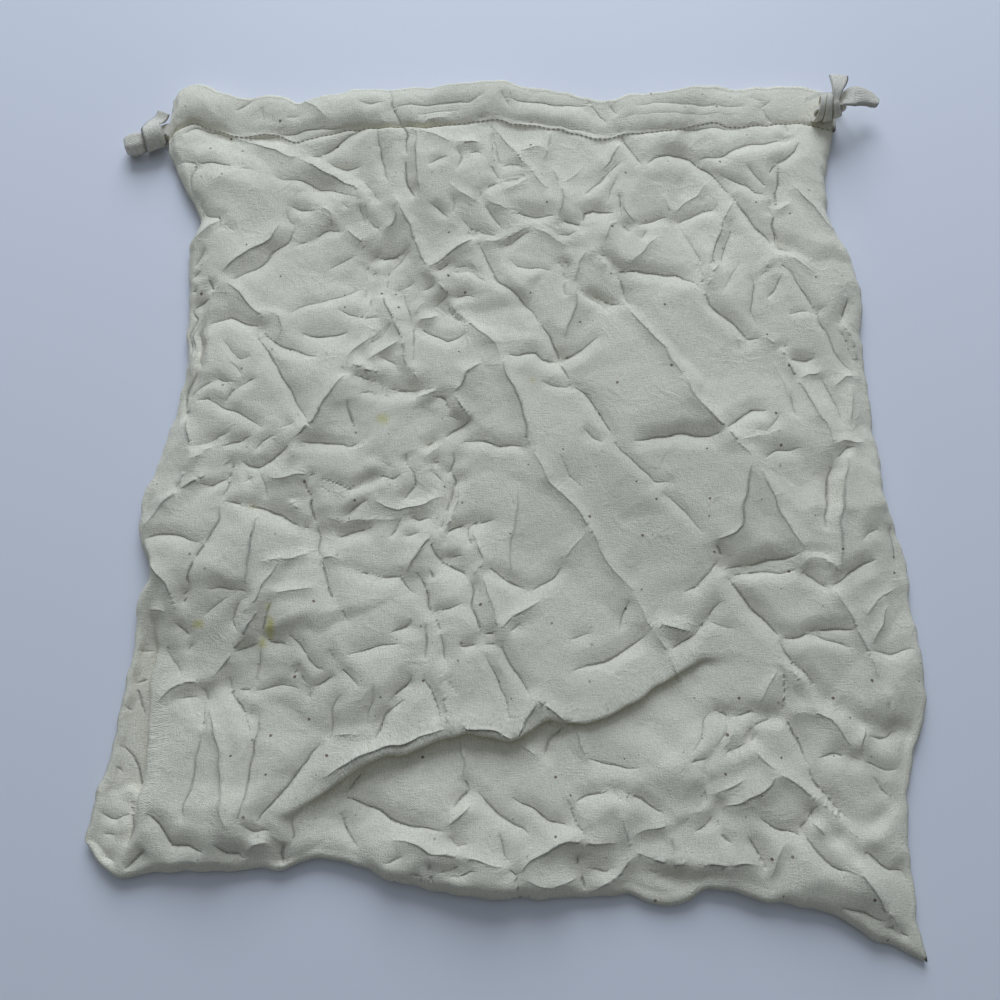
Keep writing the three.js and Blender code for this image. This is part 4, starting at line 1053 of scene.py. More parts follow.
@dataclass
class BagChart:
    """The bag's outline and the height of its layers over the chart, in mm."""

    folds_from: float = 0.5
    folds_full: float = 5.0
    edge_fade: float = 26.0
    edge_wave: float = 1.0
    wave_length: float = 55.0
    lap_from: float = 2.0
    lap_full: float = 10.0
    ledge_near: float = 10.0
    ledge_far: float = 60.0
    swell_start: float = -2.0
    swell_length: float = 31.0
    stitched: float = 0.7
    stitched_reach: float = 1.6

    def settle(self, columns: Stations, row: Callable[[Array], Array]) -> Place:
        """Place a grid so that both directions follow the edges and the laps of the other.

        Args:
            columns: Columns of the grid.
            row: Gives y from the share of the way across.

        Returns:
            The settled places.
        """
        across = np.array([[0.5]])
        up = np.array([[0.5]])
        x = y = across
        for _ in range(6):
            x = columns.across(up)
            left, right = SIDES.read("left", up), SIDES.read("right", up)
            across = np.clip((x - left) / (right - left), 0, 1)
            y = row(across)
            bottom, top = ENDS.read("bottom", across), ENDS.read("top", across)
            up = np.clip((y - bottom) / (top - bottom), 0, 1)
        return Place(*np.broadcast_arrays(x, y, across, up))

    def hem(self, columns: Stations, depth: float) -> Place:
        """Return the places of a hem's row at one depth below the mouth edge."""
        return self.settle(columns, lambda across: ENDS.read("top", across) - depth)

    def waved(self, points: Array) -> Array:
        """Return points of the cloth with the small waves of its outline, the same in both panels.

        Args:
            points: Points in mm, with the last axis for x, y and z.

        Returns:
            The moved points.
        """
        x, y = points[..., 0], points[..., 1]
        moved = points.copy()
        moved[..., 0] += self.edge_wave * waver(y + 0.15 * x, 21, self.wave_length)
        moved[..., 1] += self.edge_wave * waver(x - 0.15 * y, 22, self.wave_length)
        return moved

    def edge_lift(self, p: Place) -> Array:
        """Return how far the edges of both panels are lifted off the table."""
        left = SIDES.read("lift_left", p.up) * self._fade(p.from_left)
        right = SIDES.read("lift_right", p.up) * self._fade(p.from_right)
        foot = ENDS.read("lift", p.across) * self._fade(p.from_foot)
        return np.maximum.reduce([left, right, foot, np.zeros_like(left)])

    def _fade(self, distance: Array) -> Array:
        """Return how a lifted edge dies out inwards."""
        return (1 - np.clip(distance / self.edge_fade, 0, 1)) ** 2

    def mouth_middle(self, across: Array) -> Array:
        """Return the height of the front's turned-in layer at the mouth."""
        arch = smoothstep(across, *ARCH_START) * (1 - smoothstep(across, *ARCH_END))
        return MOUTH_LOW + MOUTH_ARCH * arch

    def channel_top(self, across: Array, depth: Values) -> Array:
        """Return the height of the front's outer layer over the channel."""
        swell = np.sin(np.pi * np.clip((depth - self.swell_start) / self.swell_length, 0, 1)) ** 0.8
        puff = (np.maximum(ENDS.read("puff", across), 0) + HEM_PLAY) * swell
        return self.mouth_middle(across) + lerp(CHANNEL_RISE, LAYER_STEP + SEAM_PLAY, shut(depth)) + puff

    def front_height(self, p: Place, side_rise: Array, ledge_rise: Array) -> Array:
        """Return the height of the front's cloth below the hem.

        Args:
            p: Places on the chart.
            side_rise: How much of the side lap's step has been climbed.
            ledge_rise: The same for the ledge.

        Returns:
            Heights in mm.
        """
        below_ledge = ENDS.read("ledge", p.across) - p.y
        resting = SEAM_MIDDLE + self.edge_lift(p)
        crown = roll(p.from_left, SIDE_ROLL) * roll(p.from_right, SIDE_ROLL) * roll(p.from_foot, FOOT_ROLL)
        ledge_drop = ENDS.read("step", p.across) * (1 - ledge_rise) * smoothstep(p.from_foot, 4, 22)
        side_drop = SIDES.read("step", p.up) * (1 - side_rise)
        body = (
            resting
            + (CROWN - resting) * crown
            - side_drop * smoothstep(p.from_left, self.lap_from, self.lap_full)
            - ledge_drop * (1 - smoothstep(below_ledge, self.ledge_near, self.ledge_far) / 2)
        )
        sewn = self.mouth_middle(p.across) + LAYER_STEP + SEAM_PLAY
        below_hem = smoothstep(p.depth, STITCH_LINE, STITCH_LINE + HEM_BLEND)
        return lerp(sewn, np.maximum(body, resting), below_hem)

    def relief_share(self, p: Place) -> Array:
        """Return how fully the creases show: not at the very seams, and less over the hem."""
        near = np.minimum.reduce([p.from_left, p.from_right, p.from_foot])
        hem = lerp(HEM_SHARE, 1, smoothstep(p.depth, STITCH_LINE - HEM_EASE, STITCH_LINE + HEM_EASE))
        stitched = 1 - self.stitched * bell(p.depth - STITCH_LINE, self.stitched_reach)
        return smoothstep(near, self.folds_from, self.folds_full) * hem * stitched

    def hem_floor(self, across: Array, depth: float) -> Array:
        """Return the lowest that the front's outer layer lies over the tapes and the seam."""
        return self.mouth_middle(across) + lerp(CHANNEL_RISE - 0.4, LAYER_STEP - 0.5, shut(depth))


def shut(depth: Values) -> Array:
    """Return how far a channel has closed towards its seam, at a depth below the mouth edge."""
    return smoothstep(depth, LOWER_LANE + TAPE_WIDTH / 2, STITCH_LINE)


def roll(distance: Array, reach: float) -> Array:
    """Return a quarter of an ellipse: 0 at a seam, 1 from the given distance inwards."""
    rest = 1 - np.clip(distance / reach, 0, 1)
    return np.sqrt(1 - rest * rest)


@dataclass
class Sheet:
    """A grid of a panel's cloth: the middle of its thickness and its flat coordinates.

    Attributes:
        points: Middle of the cloth in mm, columns by rows by three.
        flat: The same cloth laid flat, in mm, columns by rows by two.
        sink: How far the inner face keeps below narrow troughs, in mm, columns by rows.
        marks: What the finish reads from the outer face, by name, columns by rows.
        fine: Every how many steps the inner face has a point.
    """

    points: Array
    flat: Array
    sink: Values = 0.0
    marks: dict[str, Array] = field(default_factory=dict)
    fine: int = 2

    def mark(self, piece: bpy.types.Object) -> None:
        """Give the finished piece the values that its finish reads."""
        for name, values in self.marks.items():
            spread = np.zeros(len(piece.data.vertices), np.float32)
            spread[: values.size] = values.ravel()
            piece.data.attributes.new(name, "FLOAT", "POINT").data.foreach_set("value", spread)

    def normals(self) -> Array:
        """Return the outward directions of the grid."""
        p = np.pad(self.points, ((1, 1), (1, 1), (0, 0)), mode="edge")
        return unit(np.cross(p[2:, 1:-1] - p[:-2, 1:-1], p[1:-1, 2:] - p[1:-1, :-2]))

    def faces(self) -> tuple[Array, Array, list[tuple[int, ...]]]:
        """Close the sheet: a fine outer face, a coarser inner one and a rim.

        Returns:
            Its points, the flat coordinates of each point and the faces.
        """
        columns, rows = self.points.shape[:2]
        out = self.normals()
        outer = self.points + out * CLOTH / 2
        inner = self.points + out * (CLOTH / 2 - VISIBLE_CLOTH)
        inner[..., 2] -= self.sink
        k = self.fine
        coarse = inner[::k, ::k]
        across, along = coarse.shape[:2]
        at = np.arange(columns * rows).reshape(columns, rows)
        under = columns * rows + np.arange(across * along).reshape(across, along)
        quads = np.stack([at[:-1, :-1], at[1:, :-1], at[1:, 1:], at[:-1, 1:]], -1).reshape(-1, 4)
        back = np.stack([under[:-1, :-1], under[:-1, 1:], under[1:, 1:], under[1:, :-1]], -1).reshape(-1, 4)
        faces = [tuple(q) for q in quads.tolist()] + [tuple(q) for q in back.tolist()]
        rims = [
            (at[:, 0], under[:, 0]),
            (at[-1, :], under[-1, :]),
            (at[::-1, -1], under[::-1, -1]),
            (at[0, ::-1], under[0, ::-1]),
        ]
        for top, low in rims:
            for i in range(len(low) - 1):
                fine_side = top[i * k : i * k + k + 1].tolist()
                faces.append((*fine_side[::-1], int(low[i]), int(low[i + 1])))
        points = np.concatenate([outer.reshape(-1, 3), coarse.reshape(-1, 3)])
        flat = np.concatenate([self.flat.reshape(-1, 2), self.flat[::k, ::k].reshape(-1, 2)])
        return points, flat, faces


def make_object(
    name: str, points: Array, faces: Sequence[Sequence[int]], material: Material, flat: Array | None = None
) -> bpy.types.Object:
    """Make a smooth-shaded mesh object at the origin.

    Args:
        name: Its name.
        points: Points on the chart in mm.
        faces: Faces as point numbers.
        material: Its finish.
        flat: Flat coordinates of the points in mm, for the UV map.

    Returns:
        The object, linked to the scene.
    """
    mesh = bpy.data.meshes.new(name)
    mesh.from_pydata(to_row(points).tolist(), [], faces)
    mesh.validate()
    if flat is not None:
        layer = mesh.uv_layers.new(name="cloth")
        corners = np.empty(len(mesh.loops), np.int32)
        mesh.loops.foreach_get("vertex_index", corners)
        layer.data.foreach_set("uv", (flat[corners] * MM).astype(np.float32).ravel())
    mesh.polygons.foreach_set("use_smooth", np.ones(len(mesh.polygons), bool))
    mesh.materials.append(material)
    mesh.update()
    piece = bpy.data.objects.new(name, mesh)
    bpy.context.scene.collection.objects.link(piece)
    return piece


class NodeSketch:
    """A material's node tree, drawn with short calls."""

    def __init__(self, name: str) -> None:
        """Start an empty tree with its output and one Principled shader."""
        self.material = bpy.data.materials.new(name)
        self.material.use_nodes = True
        self.tree = self.material.node_tree
        self.tree.nodes.clear()
        self.shader = self.node("BsdfPrincipled")
        self.node("OutputMaterial", None, Surface=self.shader.outputs["BSDF"])

    def node(self, kind: str, options: dict | None = None, **inputs: object) -> bpy.types.Node:
        """Add a node.

        Args:
            kind: Its type without the ShaderNode in front.
            options: Its properties.
            **inputs: Values or outputs for its inputs, named with _ for a space or by i and a place.

        Returns:
            The node.
        """
        made = self.tree.nodes.new("ShaderNode" + kind)
        for key, value in (options or {}).items():
            setattr(made, key, value)
        self._fill(made, inputs)
        return made

    def dress(self, **inputs: object) -> Material:
        """Fill inputs of the shader, named as in node, and return the material."""
        self._fill(self.shader, inputs)
        return self.material

    def _fill(self, node: bpy.types.Node, inputs: dict[str, object]) -> None:
        """Set or link inputs of a node."""
        for key, value in inputs.items():
            place = key[1:]
            socket = node.inputs[int(place) if key[0] == "i" and place.isdigit() else key.replace("_", " ")]
            if isinstance(value, Socket):
                self.tree.links.new(value, socket)
            else:
                socket.default_value = value

    def math(self, operation: str, *values: object) -> Socket:
        """Add a Math node and return its output."""
        inputs = {f"i{k}": value for k, value in enumerate(values)}
        return self.node("Math", {"operation": operation}, **inputs).outputs[0]

    def mix(self, share: object, first: object, second: object) -> Socket:
        """Mix two colours and return the result."""
        return self.node("Mix", {"data_type": "RGBA"}, i0=share, i6=first, i7=second).outputs[2]

    def ramp(self, value: Socket, low: float, high: float) -> Socket:
        """Return 0 below low, 1 above high and a straight rise between them."""
        made = self.node("MapRange", {"clamp": True}, i0=value, i1=low, i2=high, i3=0.0, i4=1.0)
        return made.outputs[0]

    def noise(
        self, place: Socket, scale: float, detail: float, kind: str = "3D", rough: float = 0.5
    ) -> bpy.types.Node:
        """Add a noise texture and return its node."""
        options = {"noise_dimensions": kind}
        return self.node("TexNoise", options, Vector=place, Scale=scale, Detail=detail, Roughness=rough)

    def moved(self, place: Socket, by: object, share: float) -> Socket:
        """Return a place moved by a share of a colour."""
        shift = self.node("VectorMath", {"operation": "SCALE"}, i0=by, Scale=share).outputs[0]
        return self.node("VectorMath", {"operation": "ADD"}, i0=place, i1=shift).outputs[0]

    def bump(self, height: object, strength: float, distance: float, **below: object) -> Socket:
        """Add a Bump node over the normal below it, where one is given, and return its normal."""
        made = self.node("Bump", None, Strength=strength, Distance=distance, Height=height, **below)
        return made.outputs[0]


@dataclass(frozen=True)
class Calico:
    """Unbleached plain weave with slubs, seed flecks and a few yellow stains."""

    shade: Colour = (0.70, 0.645, 0.48, 1)
    pale: Colour = (1.0, 0.955, 0.785, 1)
    fleck: Colour = (0.16, 0.10, 0.05, 1)
    stain: Colour = (0.66, 0.60, 0.15, 1)
    blotch: Colour = (0.74, 0.70, 0.53, 1)
    thread: float = 0.00052
    fold_edge: float = 0.7
    # Each stain: x and y of its middle, width, height and strength
    stains: tuple[tuple[float, ...], ...] = (
        (-64, 26, 5, 4.5, 0.9),
        (-157, -86, 4.2, 4, 0.95),
        (-119, -88, 3.9, 9.5, 0.9),
        (-123, -96, 3.4, 4.4, 0.8),
        (-120, -78, 2.6, 4, 0.5),
        (-132, -24, 4, 3, 0.3),
        (18, 50, 3, 4, 0.25),
    )

    def build(self) -> Material:
        """Build the material."""
        s = NodeSketch("calico")
        place = s.node("TexCoord").outputs["Object"]
        cloth = s.node("UVMap", {"uv_map": "cloth"}).outputs[0]
        colour = s.mix(self._slubs(s, cloth), self.shade, self.pale)
        colour = s.mix(self._blotches(s, place), colour, self.blotch)
        colour = s.mix(self._stain_share(s, place), colour, self.stain)
        colour = s.mix(self._fleck_share(s, cloth), colour, self.fleck)
        folded = s.bump(self._fold_edge(s), 1.0, MM)
        wrinkled = s.bump(self._wrinkles(s, cloth), 1.0, 0.0005, Normal=folded)
        woven = s.bump(self._weave(s, cloth), 1.0, 0.0003, Normal=wrinkled)
        return s.dress(
            Base_Color=colour,
            Roughness=0.9,
            Specular_IOR_Level=0.25,
            Sheen_Weight=0.12,
            Sheen_Roughness=0.5,
            Normal=woven,
        )

    def _fold_edge(self, s: NodeSketch) -> Socket:
        """Return the height of the sharp edges along the creases, in mm."""
        beside = s.node("Attribute", {"attribute_name": "beside_fold"}).outputs["Fac"]
        sharp = s.node("Attribute", {"attribute_name": "sharp_fold"}).outputs["Fac"]
        away = s.math("MULTIPLY", s.math("ABSOLUTE", beside), -1.0 / self.fold_edge)
        return s.math("MULTIPLY", s.math("EXPONENT", away), sharp)

    def _weave(self, s: NodeSketch, cloth: Socket) -> Socket:
        """Return the height of the over-and-under of warp and weft, with uneven yarn."""
        sway = s.noise(cloth, 300.0, 2.0, "2D").outputs["Color"]
        parts = s.node("SeparateXYZ", None, Vector=s.moved(cloth, sway, 0.0016))
        turn = math.pi / self.thread
        warp = s.math("SINE", s.math("MULTIPLY", parts.outputs[0], turn))
        weft = s.math("SINE", s.math("MULTIPLY", parts.outputs[1], turn))
        crossed = s.math("MULTIPLY", warp, weft)
        return s.math("ADD", s.math("MULTIPLY", crossed, 0.25), self._slubs(s, cloth))

    def _slubs(self, s: NodeSketch, cloth: Socket) -> Socket:
        """Return streaks of thicker, paler yarn along both threads."""
        shares = []
        for scale in ((220.0, 1700.0, 1.0), (1700.0, 220.0, 1.0), (1150.0, 1150.0, 1.0)):
            stretched = s.node("Mapping", None, Vector=cloth, Scale=scale).outputs[0]
            shares.append(s.ramp(s.noise(stretched, 1.0, 2.0, "2D").outputs[0], 0.3, 0.7))
        streaks = s.math("MULTIPLY", s.math("ADD", *shares[:2]), 0.3)
        return s.math("ADD", streaks, s.math("MULTIPLY", shares[2], 0.4))

    def _blotches(self, s: NodeSketch, place: Socket) -> Socket:
        """Return where the cloth is a little duller."""
        noise = s.noise(place, 22.0, 4.0).outputs[0]
        return s.math("MULTIPLY", s.ramp(noise, 0.45, 0.75), 0.35)

    def _stain_share(self, s: NodeSketch, place: Socket) -> Socket:
        """Return where the yellow stains lie, with ragged edges."""
        ragged = s.noise(place, 260.0, 3.0).outputs[0]
        total = 0.0
        for x, y, wide, high, strength in self.stains:
            centre = to_row((x, y, 0))
            size = (1 / (wide * MM), 1 / (high * MM), 0.0)
            shift = (-centre[0] * size[0], -centre[1] * size[1], 0.0)
            moved = s.node("Mapping", None, Vector=place, Location=shift, Scale=size).outputs[0]
            distance = s.node("VectorMath", {"operation": "LENGTH"}, i0=moved).outputs["Value"]
            frayed = s.math("ADD", distance, s.math("MULTIPLY", ragged, 1.1))
            share = s.math("MULTIPLY", s.math("SUBTRACT", 1.0, s.ramp(frayed, 0.5, 1.45)), strength)
            total = share if total == 0.0 else s.math("MAXIMUM", total, share)
        return total

    def _fleck_share(self, s: NodeSketch, cloth: Socket) -> Socket:
        """Return where the dark seed flecks lie."""
        flat = {"voronoi_dimensions": "2D"}
        cells = s.node("TexVoronoi", flat, Vector=cloth, Scale=105.0)
        parts = s.node("SeparateColor", None, Color=cells.outputs["Color"])
        size = s.math("MULTIPLY", s.math("POWER", parts.outputs[0], 1.2), 0.09)
        dot = s.math("LESS_THAN", cells.outputs["Distance"], size)
        return s.math("MULTIPLY", dot, s.math("MULTIPLY", s.ramp(parts.outputs[1], 0.72, 0.9), 0.85))

    def _wrinkles(self, s: NodeSketch, cloth: Socket) -> Socket:
        """Return the fine wrinkles between the modelled creases: small facets with sharp folds."""
        drift = s.noise(cloth, 35.0, 3.0, "2D").outputs["Color"]
        place = s.moved(cloth, drift, 0.03)
        total = s.math("MULTIPLY", s.noise(place, 160.0, 4.0, "2D", 0.62).outputs[0], 0.6)
        shown = s.ramp(s.noise(cloth, 38.0, 2.0, "2D").outputs[0], 0.42, 0.62)
        for scale, share in ((52.0, 0.3), (105.0, 0.2)):
            kind = {"feature": "DISTANCE_TO_EDGE", "voronoi_dimensions": "2D"}
            cells = s.node("TexVoronoi", kind, Vector=place, Scale=scale).outputs["Distance"]
            ridge = s.math("SUBTRACT", 1.0, s.ramp(cells, 0.0, 0.13))
            total = s.math("ADD", total, s.math("MULTIPLY", s.math("MULTIPLY", ridge, shown), share))
        return total


@dataclass(frozen=True)
class CottonTape:
    """Unbleached woven tape of the drawstring, ribbed across its width."""

    cream: Colour = (0.92, 0.87, 0.74, 1)
    shade: Colour = (0.72, 0.67, 0.53, 1)
    rib: float = 0.0009
    row: float = 0.0007

    def build(self) -> Material:
        """Build the material."""
        s = NodeSketch("cotton_tape")
        cloth = s.node("UVMap", {"uv_map": "cloth"}).outputs[0]
        parts = s.node("SeparateXYZ", None, Vector=cloth)
        ribs = s.math("SINE", s.math("MULTIPLY", parts.outputs[0], math.tau / self.rib))
        rows = s.math("SINE", s.math("MULTIPLY", parts.outputs[1], math.tau / self.row))
        weave = s.math("ADD", s.math("MULTIPLY", ribs, 0.6), s.math("MULTIPLY", rows, 0.4))
        noise = s.noise(cloth, 500.0, 3.0).outputs[0]
        colour = s.mix(s.ramp(noise, 0.35, 0.7), self.shade, self.cream)
        height = s.math("ADD", weave, s.math("MULTIPLY", noise, 1.5))
        woven = s.bump(height, 0.6, 0.0003)
        return s.dress(Base_Color=colour, Roughness=0.92, Sheen_Weight=0.12, Normal=woven)


@dataclass(frozen=True)
class SewingThread:
    """Cotton thread of the hem."""

    dark: Colour = (0.38, 0.34, 0.26, 1)
    light: Colour = (0.54, 0.50, 0.40, 1)

    def build(self) -> Material:
        """Build the material."""
        s = NodeSketch("sewing_thread")
        noise = s.noise(s.node("TexCoord").outputs["Object"], 2500.0, 2.0).outputs[0]
        colour = s.mix(noise, self.dark, self.light)
        return s.dress(Base_Color=colour, Roughness=0.8, Normal=s.bump(noise, 0.4, 0.0002))


@dataclass(frozen=True)
class Tabletop:
    """Pale, slightly glossy surface under the bag."""

    colour: Colour = (0.80, 0.805, 0.84, 1)
    roughness: float = 0.32
    specular: float = 0.12

    def build(self) -> Material:
        """Build the material."""
        shine = {"Roughness": self.roughness, "Specular_IOR_Level": self.specular}
        return NodeSketch("tabletop").dress(Base_Color=self.colour, **shine)


@dataclass
class Strip:
    """Rows of the front's grid, with each value in mm in an array of columns by rows.

    Attributes:
        x: Place across of the middle of the cloth.
        y: Place up.
        z: Height.
        u: Place across on the same cloth laid flat.
        v: Place up on it.
        relief: Height of the creases in it.
        room: How far its inner face may sink.
        beside: Distance to the nearest crease's line.
        sharp: Height of the sharp edge on that line.
    """

    x: Array
    y: Array
    z: Array
    u: Array
    v: Array
    relief: Array
    room: Array
    beside: Array
    sharp: Array


@dataclass
class FrontPanel:
    """The front's cloth, with its ledge, its side lap and its hem over the drawstring."""

    chart: BagChart
    relief: Relief
    strip_steps: int = 8
    lap_steps: int = 18
    field_steps: int = 228
    foot_steps: int = 46
    ledge_steps: int = 18
    row_steps: int = 202
    longest_leap: float = 3.2
    groove_reach: float = 1.1
    gather_length: float = 24
    gather_reach: float = 9
    gather_shift: float = 2
    hem_depths: tuple[float, ...] = (
        38.4, 36.8, 35.2, 33.6, 32.2, 31, 30, 29.2, 28.6, STITCH_LINE, 27.4, 26.8, 26, 25, 23.6, 22, 20.4,
        18.8, 17.2, 15.6, 14, 12.4, 10.8, 9.2, 7.6, 6.2, 4.8, 3.6,
    )
    flap_depths: tuple[float, ...] = (4, 8, 12, 16, 20, 24, FLAP_END)

    def sheet(self) -> Sheet:
        """Work out the grid of the cloth."""
        columns = self._columns()
        rows = Stations.laid(self.foot_steps, self.ledge_steps, self.row_steps).along(1)
        strips = [self._field(columns, rows)]
        strips += [self._outer(columns, depth) for depth in self.hem_depths]
        strips += [self._round(columns, degrees) for degrees in TURN_ANGLES]
        strips += [self._inner(columns, depth) for depth in self.flap_depths]
        x, y, z, u, v, relief, room, beside, sharp = (
            np.concatenate([getattr(strip, key.name) for strip in strips], axis=1) for key in fields(Strip)
        )
        sink = np.clip(relief - np.minimum.reduce(around(relief)), 0, np.maximum(room, 0))
        leap = np.maximum.reduce([np.abs(near - beside) for near in around(beside)])
        sharp = np.where(leap > self.longest_leap, 0, sharp)
        points = self.chart.waved(np.stack([x, y, z], -1))
        return Sheet(points, np.stack([u, v], -1), sink, {"beside_fold": beside, "sharp_fold": sharp})

    def seam_line(self) -> Array:
        """Return the points of the channel's seam on the face of the cloth, in mm."""
        seam = self._outer(self._columns(), STITCH_LINE)
        return self.chart.waved(np.stack([seam.x, seam.y, seam.z + CLOTH / 2], -1)[:, 0])

    def _columns(self) -> Stations:
        """Return the columns of the grid."""
        return Stations.laid(self.strip_steps, self.lap_steps, self.field_steps).along(0)

    def _field(self, columns: Stations, rows: Stations) -> Strip:
        """Return the cloth below the hem."""

        def up_rows(across: Array) -> Array:
            """Return y of the rows from the share of the way across."""
            start, line = ENDS.read("bottom", across), ENDS.read("ledge", across)
            return rows.at(start, line, ENDS.read("top", across) - HEM_START)

        p = self.chart.settle(columns, up_rows)
        x = p.x + columns.shift(SIDES.read("lapped", p.up))
        y = p.y + rows.shift(ENDS.read("lapped", p.across))
        floor = SEAM_MIDDLE + self.chart.edge_lift(p)
        folds = self.relief.at(x, y)
        share = self.chart.relief_share(p)
        relief = folds.height * share
        z = np.maximum(self.chart.front_height(p, columns.rise(), rows.rise()) + relief, floor)
        return Strip(x, y, z, p.x, p.y, relief, z - floor + GAP, folds.beside, folds.sharp * share)

    def _outer(self, columns: Stations, depth: float) -> Strip:
        """Return one row of the hem's outside."""
        p = self.chart.hem(columns, depth)
        folds = self.relief.at(p.x, p.y)
        share = self.chart.relief_share(p)
        relief = folds.height * share
        groove = GROOVE * bell(depth - STITCH_LINE, self.groove_reach)
        gathers = GATHER * waver(p.x, 23, self.gather_length)
        gathered = gathers * bell(depth - STITCH_LINE + self.gather_shift, self.gather_reach)
        floor = self.chart.hem_floor(p.across, min(depth, STITCH_LINE))
        if depth > STITCH_LINE:
            climbed = np.ones_like(p.x)
            z = self.chart.front_height(p, climbed, climbed)
        else:
            z = self.chart.channel_top(p.across, depth)
        z = np.maximum(z + relief + gathered - groove, floor)
        return Strip(p.x, p.y, z, p.x, p.y, relief, z - floor, folds.beside, folds.sharp * share)

    def _round(self, columns: Stations, degrees: float) -> Strip:
        """Return one row round the mouth edge."""
        p = self.chart.hem(columns, TURN_REACH)
        turned = 1 + math.sin(math.radians(degrees))
        low = self.chart.mouth_middle(p.across)
        half = (self.chart.channel_top(p.across, TURN_REACH) - low) / 2
        share = self.chart.relief_share(p) * turned / 2
        folds = self.relief.at(p.x, p.y)
        y = p.y + MOUTH_NOSE * math.cos(math.radians(degrees))
        z = low + np.maximum(half + folds.height * share / 2, CHANNEL_RISE / 2 - 0.2) * turned
        still = np.zeros_like(z)
        v = p.y + TURN_REACH + TURN_LENGTH * (90 - degrees) / 180
        return Strip(p.x, y, z, p.x, v, still, still, folds.beside, folds.sharp * share)

    def _inner(self, columns: Stations, depth: float) -> Strip:
        """Return one row of the turned-in flap."""
        p = self.chart.hem(columns, depth)
        still = np.zeros_like(p.x)
        z = self.chart.mouth_middle(p.across)
        return Strip(p.x, p.y, z, p.x, p.y + 2 * depth + TURN_REACH, *[still] * 4)

    def build(self, material: Material) -> bpy.types.Object:
        """Build the front, which replaces its solid."""
        sheet = self.sheet()
        points, flat, faces = sheet.faces()
        piece = make_object("front_panel_cloth", points, faces, material, flat)
        sheet.mark(piece)
        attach(piece, "root")
        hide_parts("front_panel")
        return piece


@dataclass
class HemStitches:
    """The seam that closes the front's channel, stitch after stitch.

    Attributes:
        line: Points of the seam on the cloth, in mm.
        pitch: Distance from one stitch to the next, in mm.
        length: Length of a stitch, in mm.
        thread: Thickness of its thread, in mm.
    """

    line: Array
    pitch: float = 2.9
    length: float = 2.1
    thread: float = 0.8

    def build(self, material: Material) -> bpy.types.Object:
        """Build the seam's stitches as one piece."""
        mesh = bpy.data.meshes.new("hem_seam")
        mesh.from_pydata(to_row(self.line).tolist(), [(i, i + 1) for i in range(len(self.line) - 1)], [])
        path = bpy.data.objects.new("hem_seam", mesh)
        bpy.context.scene.collection.objects.link(path)
        tree = self._tree(material)
        modifier = path.modifiers.new("stitches", "NODES")
        modifier.node_group = tree
        sizes = {"Pitch": self.pitch, "Length": self.length, "Thread": self.thread}
        for item in tree.interface.items_tree:
            if item.item_type == "SOCKET" and item.name in sizes:
                modifier[item.identifier] = sizes[item.name] * MM
        graph = bpy.context.evaluated_depsgraph_get()
        made = bpy.data.meshes.new_from_object(path.evaluated_get(graph), depsgraph=graph)
        bpy.data.objects.remove(path)
        made.polygons.foreach_set("use_smooth", np.ones(len(made.polygons), bool))
        piece = bpy.data.objects.new("hem_stitches", made)
        bpy.context.scene.collection.objects.link(piece)
        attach(piece, "root")
        return piece

    @staticmethod
    def _tree(material: Material) -> bpy.types.NodeTree:
        """Draw the nodes that set a stitch at every step of a line."""
        tree = bpy.data.node_groups.new("stitches", "GeometryNodeTree")
        tree.interface.new_socket("Geometry", in_out="INPUT", socket_type="NodeSocketGeometry")
        for name in ("Pitch", "Length", "Thread"):
            tree.interface.new_socket(name, in_out="INPUT", socket_type="NodeSocketFloat")
        tree.interface.new_socket("Geometry", in_out="OUTPUT", socket_type="NodeSocketGeometry")
        kinds = {
            "given": "NodeGroupInput",
            "curve": "GeometryNodeMeshToCurve",
            "places": "GeometryNodeCurveToPoints",
            "bead": "GeometryNodeMeshUVSphere",
            "size": "ShaderNodeCombineXYZ",
            "stitch": "GeometryNodeTransform",
            "slant": "FunctionNodeRandomValue",
            "turned": "FunctionNodeRotateRotation",
            "set": "GeometryNodeInstanceOnPoints",
            "real": "GeometryNodeRealizeInstances",
            "dressed": "GeometryNodeSetMaterial",
            "result": "NodeGroupOutput",
        }
        nodes = {name: tree.nodes.new(kind) for name, kind in kinds.items()}
        nodes["places"].mode = "LENGTH"
        nodes["bead"].inputs["Segments"].default_value = 6
        nodes["bead"].inputs["Rings"].default_value = 5
        nodes["bead"].inputs["Radius"].default_value = 0.5
        nodes["slant"].data_type = "FLOAT_VECTOR"
        nodes["slant"].inputs[0].default_value = (-0.1, -0.1, 0)
        nodes["slant"].inputs[1].default_value = (0.1, 0.1, 0)
        nodes["slant"].inputs["Seed"].default_value = 7
        nodes["turned"].rotation_space = "LOCAL"
        nodes["dressed"].inputs["Material"].default_value = material
        links = (
            ("given", "Geometry", "curve", "Mesh"),
            ("curve", "Curve", "places", "Curve"),
            ("given", "Pitch", "places", "Length"),
            ("given", "Thread", "size", "X"),
            ("given", "Thread", "size", "Y"),
            ("given", "Length", "size", "Z"),
            ("bead", "Mesh", "stitch", "Geometry"),
            ("size", "Vector", "stitch", "Scale"),
            ("places", "Rotation", "turned", "Rotation"),
            ("slant", "Value", "turned", "Rotate By"),
            ("places", "Points", "set", "Points"),
            ("stitch", "Geometry", "set", "Instance"),
            ("turned", "Rotation", "set", "Rotation"),
            ("set", "Instances", "real", "Geometry"),
            ("real", "Geometry", "dressed", "Geometry"),
            ("dressed", "Geometry", "result", "Geometry"),
        )
        for source, output, target, socket in links:
            tree.links.new(nodes[source].outputs[output], nodes[target].inputs[socket])
        return tree


